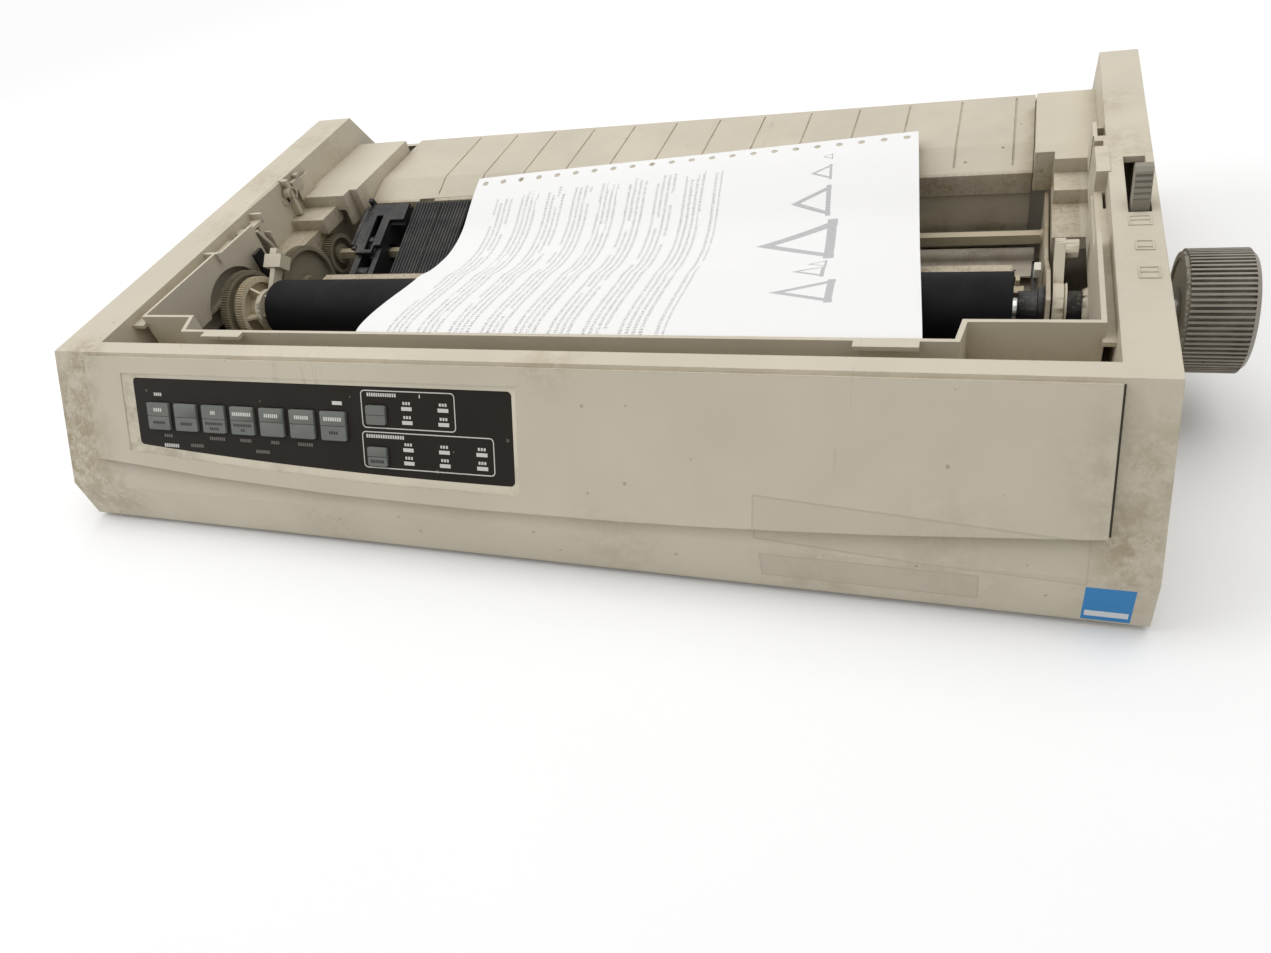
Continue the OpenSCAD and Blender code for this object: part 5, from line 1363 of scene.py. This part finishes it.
class PRINTER_OT_panel(bpy.types.Operator):
    """Finishes the key panel and prints its frames and marks"""

    bl_idname = "printer.panel"
    bl_label = "Key panel"

    def execute(self, context):
        panel, case = settings().panel, settings().case
        film = moulded(
            "panel_film", panel.film, 0.42, grain=2600.0, depth=0.00001, dirt_and_shade_colour=(0.16, 0.145, 0.115),
            scuffs=0.2, dust=0.03, tone=0.08, specks=0.6, gloss=0.12,
        )
        key = moulded(
            "key_grey", panel.key, 0.45, dirt_and_shade_colour=(0.03, 0.03, 0.026), corner_dirt_and_shade=0.8, reach=0.002,
            tone=0.05, wear=0.4,
        )
        # Painted highlight: the lip is the shell's colour made lighter, as a lit bevel looks
        lip = moulded(
            "lip_shell_highlit", shade(case.shell, 1.14), 0.45, grain=1.0 / case.grain, dirt_and_shade_colour=shade(case.dirt_and_shade_colour, 0.6),
            corner_dirt_and_shade=0.5, reach=0.003, scuffs=0.5, tone=0.05, specks=0.8, smudges=LIP_DIRT_AND_SHADE,
        )
        dress(["panel_overlay"], film)
        dress([f"key_{i}" for i in range(1, 8)] + ["key_small_1", "key_small_2"], key, 0.0003)
        dress(["panel_leds"], moulded("led_lens", (0.62, 0.62, 0.58), 0.25, depth=SMOOTH), 0.0001)
        dress(["panel_board", "main_board"], board_finish("board_green", (0.014, 0.080, 0.030)))
        ink = moulded("print_white", (0.62, 0.61, 0.57), 0.5, depth=SMOOTH)
        faint = moulded("print_faint", (0.150, 0.138, 0.120), 0.5, depth=SMOOTH)
        dark = moulded("print_dark", (0.030, 0.031, 0.029), 0.5, depth=SMOOTH)
        # Painted shadow: a dark strip laid in the gap beside the raised pad's right end
        shadow = moulded("gap_shadow_dark", (0.050, 0.044, 0.034), 0.6, depth=SMOOTH)
        add_piece("panel_lip", build_lip, lip, "chassis")
        on_film = (FILM_H, FILM_H + STROKE_H)
        windows = [(x, s, WINDOW_W, WINDOW_L) for x, s in LED_PLACES]
        printed = [
            ("pad_gap_shadow", PAD_SHADOW_STRIP, PAD_SHADOW_STRIP_H, shadow, "chassis", "case_shell"),
            ("film_legends", strokes(FILM_LEGENDS), on_film, ink, "chassis", "panel_film"),
            ("film_faint_legends", strokes(FAINT_LEGENDS), on_film, faint, "chassis", "panel_film"),
            ("led_windows", windows, (FILM_H, FILM_H + WINDOW_H), ink, "chassis", "led_lens"),
        ]
        on_key = (KEY_TOP_H, KEY_TOP_H + STROKE_H)
        for node, rows in KEY_LEGENDS.items():
            for half, finish in (("upper", ink), ("lower", dark)):
                bars = strokes([row[:4] for row in rows if row[4] == half])
                if bars:
                    name = f"{node}_legend_{half}"
                    printed.append((name, bars, on_key, finish, body_under(node), "key_grey"))
        for name, bars, heights, finish, body, slot in printed:
            add_piece(name, lambda shape: add_bars(shape, bars, *heights), finish, body)
        for name, (x0, x1, s0, s1) in PANEL_FRAMES.items():
            size = ((x1 - x0) * MM, (s1 - s0) * MM)
            add_piece(
                name, lambda shape: add_frame_line(shape, *size, panel.line_width), ink, "chassis",
                face_matrix((x0 + x1) / 2, (s0 + s1) / 2, FILM_H),
            )
        return {"FINISHED"}


# Depth of the grain on smooth printed things, in metres
SMOOTH = 0.000005

# Heights off the face: film, key tops, what printed strokes and lamp windows add, the faces of the
# painted shadow strip beside the pad, and the lip round the film
FILM_H = 1.8
KEY_TOP_H = 3.2
STROKE_H = 0.05
WINDOW_H = 0.14
PAD_SHADOW_STRIP_H = (-0.1, 0.12)
LIP_HIGH, LIP_LOW, LIP_FOOT = 2.7, 1.87, 1.05
# The first key's middle, the keys' pitch, and the lamps' windows
KEY_X0, KEY_PITCH, KEY_S = -200.6, 19.05, 42.4
WINDOW_W, WINDOW_L = 5.8, 1.8
LED_PLACES = (
    (-83.7, 53.7), (-43.6, 52.4), (-43.6, 45.7), (-23.5, 52.4), (-23.5, 45.7), (-44.1, 32.5), (-44.1, 26.0),
    (-24.1, 32.5), (-24.1, 26.0), (-3.9, 32.5), (-3.9, 26.0),
)

# Legends as x, s, width and height
FILM_LEGENDS = (
    (-200.6, 54.0, 5.6),
    (-195.0, 26.6, 10.5, 1.9),
    (-57.5, 58.6, 17.0),
    (-36.0, 58.6, 0.9),
    (-57.0, 38.4, 22.0),
    *[(x, s + 2.6, 4.6, 1.4) for x, s in LED_PLACES[1:]],
)
FAINT_LEGENDS = (
    (-196.5, 31.9, 6.0),
    (-177.0, 27.4, 9.0),
    (-162.5, 31.9, 10.5),
    (-143.5, 31.9, 7.5),
    (-124.4, 31.9, 5.5),
    (-105.3, 31.9, 9.5),
    (-133.0, 26.6, 9.0),
)


def key_x(index):
    return KEY_X0 + index * KEY_PITCH


# Legends on the keys as x, s, width, height and which half
KEY_LEGENDS = {
    "key_1": ((key_x(0), KEY_S + 3.4, 6.0, 1.9, "upper"), (key_x(0), KEY_S - 3.4, 8.5, 1.5, "lower")),
    "key_2": ((key_x(1), KEY_S - 3.4, 8.0, 1.5, "lower"),),
    "key_3": (
        (key_x(2), KEY_S + 3.4, 3.4, 1.9, "upper"),
        (key_x(2), KEY_S - 2.4, 12.0, 1.3, "lower"),
        (key_x(2), KEY_S - 5.0, 6.5, 1.3, "lower"),
    ),
    "key_4": (
        (key_x(3), KEY_S + 3.4, 12.5, 1.9, "upper"),
        (key_x(3), KEY_S - 2.4, 12.0, 1.3, "lower"),
        (key_x(3), KEY_S - 5.0, 3.0, 1.3, "lower"),
    ),
    "key_5": ((key_x(4), KEY_S + 3.4, 9.0, 1.9, "upper"),),
    "key_6": ((key_x(5), KEY_S + 3.4, 9.0, 1.9, "upper"),),
    "key_7": ((key_x(6), KEY_S + 3.4, 11.0, 1.9, "upper"), (key_x(6), KEY_S - 3.4, 5.5, 1.5, "lower")),
    "key_small_2": ((-61.5, 26.2, 8.0, 1.5, "lower"),),
}

# A dark strip of painted shadow in the gap beside the raised pad's right end, as x, s, width and length
PAD_SHADOW_STRIP = ((257.6, 45.0, 1.1, 56.4),)

# Dirt along the film's edge, and painted shade on the lip's left side where the pad's thickness shades it,
# as case places, reach and amount
LIP_DIRT_AND_SHADE = (
    ((-221.0, -152.0, 58.0), 46, 0.4),
    ((-190.0, -163.0, 40.0), 30, 0.35),
    ((-120.0, -163.0, 38.0), 26, 0.2),
    ((14.0, -158.0, 44.0), 26, 0.25),
)

# The recess that holds the film: side limits, top, and the bowed lower edge
BOW_X, BOW_R = 5.0, 3150.0
LIP_OUTER = (-225.0, 16.0, 65.2, 13.9)
LIP_INNER = (-217.1, 12.9, 62.6, 18.5)
LIP_SHARP, LIP_CORNER = 0.3, 2.6


def bow_height(x, foot):
    """How far up the face the bowed lower edge lies at x."""
    return foot + BOW_R - math.sqrt(BOW_R**2 - (x - BOW_X) ** 2)


def lip_loop(limits, corner, height, steps=6, bow_steps=24):
    """Points round the recess, with its bowed lower edge and rounded corners."""
    left, right, top, foot = limits
    points = []
    for k in range(bow_steps + 1):
        x = left + corner + (right - left - 2 * corner) * k / bow_steps
        points.append((x, bow_height(x, foot)))
    corners = (
        (right - corner, bow_height(right - corner, foot) + corner, -90),
        (right - corner, top - corner, 0),
        (left + corner, top - corner, 90),
        (left + corner, bow_height(left + corner, foot) + corner, 180),
    )
    for cx, cy, start in corners:
        for k in range(1, steps + 1):
            a = math.radians(start + 90 * k / (steps + 1))
            points.append((cx + corner * math.cos(a), cy + corner * math.sin(a)))
    return [face_matrix(x, s, height).translation for x, s in points]


def build_lip(shape):
    """The sloping lip between the pad's surface and the film."""
    levels = (
        (LIP_OUTER, LIP_SHARP, LIP_HIGH),
        (LIP_INNER, LIP_CORNER, LIP_LOW),
        (LIP_INNER, LIP_CORNER, LIP_FOOT),
        (LIP_OUTER, LIP_SHARP, LIP_FOOT),
    )
    close_rings(shape, [lip_loop(*level) for level in levels])


# Printed frames on the film, x and s limits in face millimetres
PANEL_FRAMES = {
    "print_frame_upper": (-69.5, -17.0, 42.3, 60.8),
    "print_frame_lower": (-70.3, 2.7, 22.6, 40.7),
}


class PRINTER_OT_form(bpy.types.Operator):
    """Prints the fan-fold form with rows of dots"""

    bl_idname = "printer.form"
    bl_label = "Printed form"

    def execute(self, context):
        dress(["paper_sheet"], form_finish(settings().form))
        return {"FINISHED"}


class PRINTER_OT_electrics(bpy.types.Operator):
    """Finishes the supply, the sockets, the power switch and the feet"""

    bl_idname = "printer.electrics"
    bl_label = "Electrics and feet"

    def execute(self, context):
        dress(["power_inlet"], moulded("inlet_black", (0.04, 0.04, 0.04), 0.3), 0.0003)
        dress(["power_switch"], moulded("rocker_grey", (0.12, 0.12, 0.12), 0.3), 0.0003)
        dress(["interface_connector"], steel("connector_metal", (0.55, 0.55, 0.56), 0.3), 0.0003)
        dress(["power_supply"], steel("supply_metal", (0.30, 0.30, 0.30), 0.5), 0.0005)
        dress(["feet"], rubbery("foot_rubber", (0.02, 0.02, 0.02), 0.7), 0.0005)
        return {"FINISHED"}


# Camera place in case millimetres, and its aim, roll and lens
CAMERA_AT = (213.69, -421.90, 313.96)
CAMERA_AZIMUTH = -0.495115
CAMERA_ELEVATION = -0.727382
CAMERA_ROLL = -0.273876
CAMERA_FOCUS_PX = 919.477
PICTURE_WIDTH_PX = 1271
SENSOR_WIDTH = 36.0
# The nearest and the farthest that the camera sees, in metres
CAMERA_REACH = (0.01, 50.0)


def camera_matrix():
    """Where the camera stands and how it is turned."""
    az, el, roll = CAMERA_AZIMUTH, CAMERA_ELEVATION, CAMERA_ROLL
    ahead = Vector((math.sin(az) * math.cos(el), math.cos(az) * math.cos(el), math.sin(el)))
    right = ahead.cross(Vector((0, 0, 1))).normalized()
    up = right.cross(ahead)
    rolled_right = right * math.cos(roll) + up * math.sin(roll)
    rolled_up = up * math.cos(roll) - right * math.sin(roll)
    turn = Matrix((rolled_right, rolled_up, -ahead)).transposed().to_4x4()
    return Matrix.Translation(case_point(*CAMERA_AT)) @ turn


def seen_directly(graph):
    """One where the camera looks at a thing, straight, in a reflection or through glass."""
    path = graph.add("ShaderNodeLightPath")
    mirrored = graph.maths("MAXIMUM", path.outputs["Is Camera Ray"], path.outputs["Is Glossy Ray"])
    return graph.maths("MAXIMUM", mirrored, path.outputs["Is Transmission Ray"])


# The floor's half side, and how far out it turns into white
FLOOR_HALF = 6.0
FLOOR_FADE = (0.7, 1.7)
# The white that is seen round the printer, and the strength of the light from all sides
SEEN_WHITE = (0.97, 0.97, 0.97, 1)
AMBIENT = 0.52
# Soft lamps as name, size, share of the lamp power and place, and the point that they face
LAMPS = (
    ("lamp_overhead", (2.4, 1.8), 1.0, (0.1, 0.5, 1.9)),
    ("lamp_left", (1.4, 1.4), 0.55, (-1.7, -0.3, 1.3)),
)
LAMP_AIM = Vector((0, 0, 0.05))


def floor_finish(tint):
    """A pale floor that turns into an even white far from the printer, where it is looked at."""
    surface = Finish("floor_pale", roughness=0.8)
    graph = surface.graph
    mottle = surface.group("Moulded grain", Grain_per_metre=60.0, Cloud_per_metre=3.0)["Tone"]
    surface.colour(graph.blend(graph.span(mottle, 0.3, 0.7), shade(tint, 0.99), tint))
    apart = graph.add("ShaderNodeVectorMath", {0: graph.here()}, operation="LENGTH").outputs["Value"]
    white = graph.add("ShaderNodeEmission", {"Color": SEEN_WHITE, "Strength": 1.0}).outputs[0]
    far = graph.product(graph.span(apart, *FLOOR_FADE), seen_directly(graph))
    mixed = graph.add("ShaderNodeMixShader", {0: far, 1: surface.shader.outputs["BSDF"], 2: white})
    graph.feed(surface.result.inputs["Surface"], mixed.outputs[0])
    return surface.material


def add_lamp(name, size, power, place):
    """A soft lamp that faces the printer."""
    data = bpy.data.lights.new(name, "AREA")
    data.shape = "RECTANGLE"
    data.size, data.size_y = size
    data.energy = power
    holder = new_object(name, data)
    holder.location = place
    holder.rotation_mode = "QUATERNION"
    holder.rotation_quaternion = (LAMP_AIM - Vector(place)).to_track_quat("-Z", "Y")


def studio_world():
    """Even light from all sides, seen as white."""
    world = bpy.data.worlds.new("studio")
    world.use_nodes = True
    world.node_tree.nodes.clear()
    sky = Graph(world.node_tree)
    ambient = sky.add("ShaderNodeBackground", {"Color": (1, 1, 1, 1), "Strength": AMBIENT}).outputs[0]
    seen = sky.add("ShaderNodeBackground", {"Color": SEEN_WHITE, "Strength": 1.0}).outputs[0]
    mixed = sky.add("ShaderNodeMixShader", {0: seen_directly(sky), 1: ambient, 2: seen})
    sky.add("ShaderNodeOutputWorld", {"Surface": mixed.outputs[0]})
    return world


class PRINTER_OT_stage(bpy.types.Operator):
    """Sets out the floor, the soft lamps, the world and the camera"""

    bl_idname = "printer.stage"
    bl_label = "Stage"

    def execute(self, context):
        scene = context.scene
        stage = settings().stage
        grid = {"x_segments": 1, "y_segments": 1, "size": FLOOR_HALF}
        floor_mesh = new_mesh("floor", lambda shape: bmesh.ops.create_grid(shape, **grid))
        floor_mesh.materials.append(floor_finish(stage.floor))
        floor = new_object("floor", floor_mesh)
        floor.location = (0, 0, CAD_BOX[0].z)
        for name, size, share, place in LAMPS:
            add_lamp(name, size, stage.lamp_power * share, place)
        scene.world = studio_world()
        data = bpy.data.cameras.new("camera")
        data.sensor_fit = "HORIZONTAL"
        data.sensor_width = SENSOR_WIDTH
        data.lens = CAMERA_FOCUS_PX / PICTURE_WIDTH_PX * SENSOR_WIDTH
        data.clip_start, data.clip_end = CAMERA_REACH
        camera = new_object("camera", data)
        camera.matrix_world = camera_matrix()
        scene.camera = camera
        scene.view_settings.view_transform = "Standard"
        return {"FINISHED"}


# ---------------------------------------------------------------- add-on


class PrinterDressing(bpy.types.PropertyGroup):
    case: PointerProperty(type=CaseSettings, name="Case", description="Case shells")
    well: PointerProperty(type=WellSettings, name="Well", description="Pieces in the well")
    panel: PointerProperty(type=PanelSettings, name="Panel", description="Key panel")
    form: PointerProperty(type=FormSettings, name="Form", description="Printed form")
    stage: PointerProperty(type=StageSettings, name="Stage", description="Floor and lamps")


OPERATORS = (
    PRINTER_OT_groups,
    PRINTER_OT_stage,
    PRINTER_OT_case,
    PRINTER_OT_frames,
    PRINTER_OT_platen,
    PRINTER_OT_gears,
    PRINTER_OT_tractors,
    PRINTER_OT_head,
    PRINTER_OT_levers,
    PRINTER_OT_panel,
    PRINTER_OT_form,
    PRINTER_OT_electrics,
)


class PRINTER_PT_dressing(bpy.types.Panel):
    """Lists the steps that dress the printer"""

    bl_idname = "PRINTER_PT_dressing"
    bl_label = "Printer"
    bl_space_type = "VIEW_3D"
    bl_region_type = "UI"
    bl_category = "Printer"

    def draw(self, context):
        for operator in OPERATORS:
            self.layout.operator(operator.bl_idname)
        for group in ("case", "well", "panel", "form", "stage"):
            part = getattr(context.scene.printer_dressing, group)
            box = self.layout.box()
            for name in part.__annotations__:
                box.prop(part, name)


CLASSES = (
    CaseSettings,
    WellSettings,
    PanelSettings,
    FormSettings,
    StageSettings,
    PrinterDressing,
    *OPERATORS,
    PRINTER_PT_dressing,
)


def register():
    for item in CLASSES:
        bpy.utils.register_class(item)
    bpy.types.Scene.printer_dressing = PointerProperty(type=PrinterDressing)


def unregister():
    del bpy.types.Scene.printer_dressing
    for item in reversed(CLASSES):
        bpy.utils.unregister_class(item)


def main():
    register()
    for operator in OPERATORS:
        category, name = operator.bl_idname.split(".")
        getattr(getattr(bpy.ops, category), name)()
    bpy.context.view_layer.update()


if __name__ == "__main__":
    main()
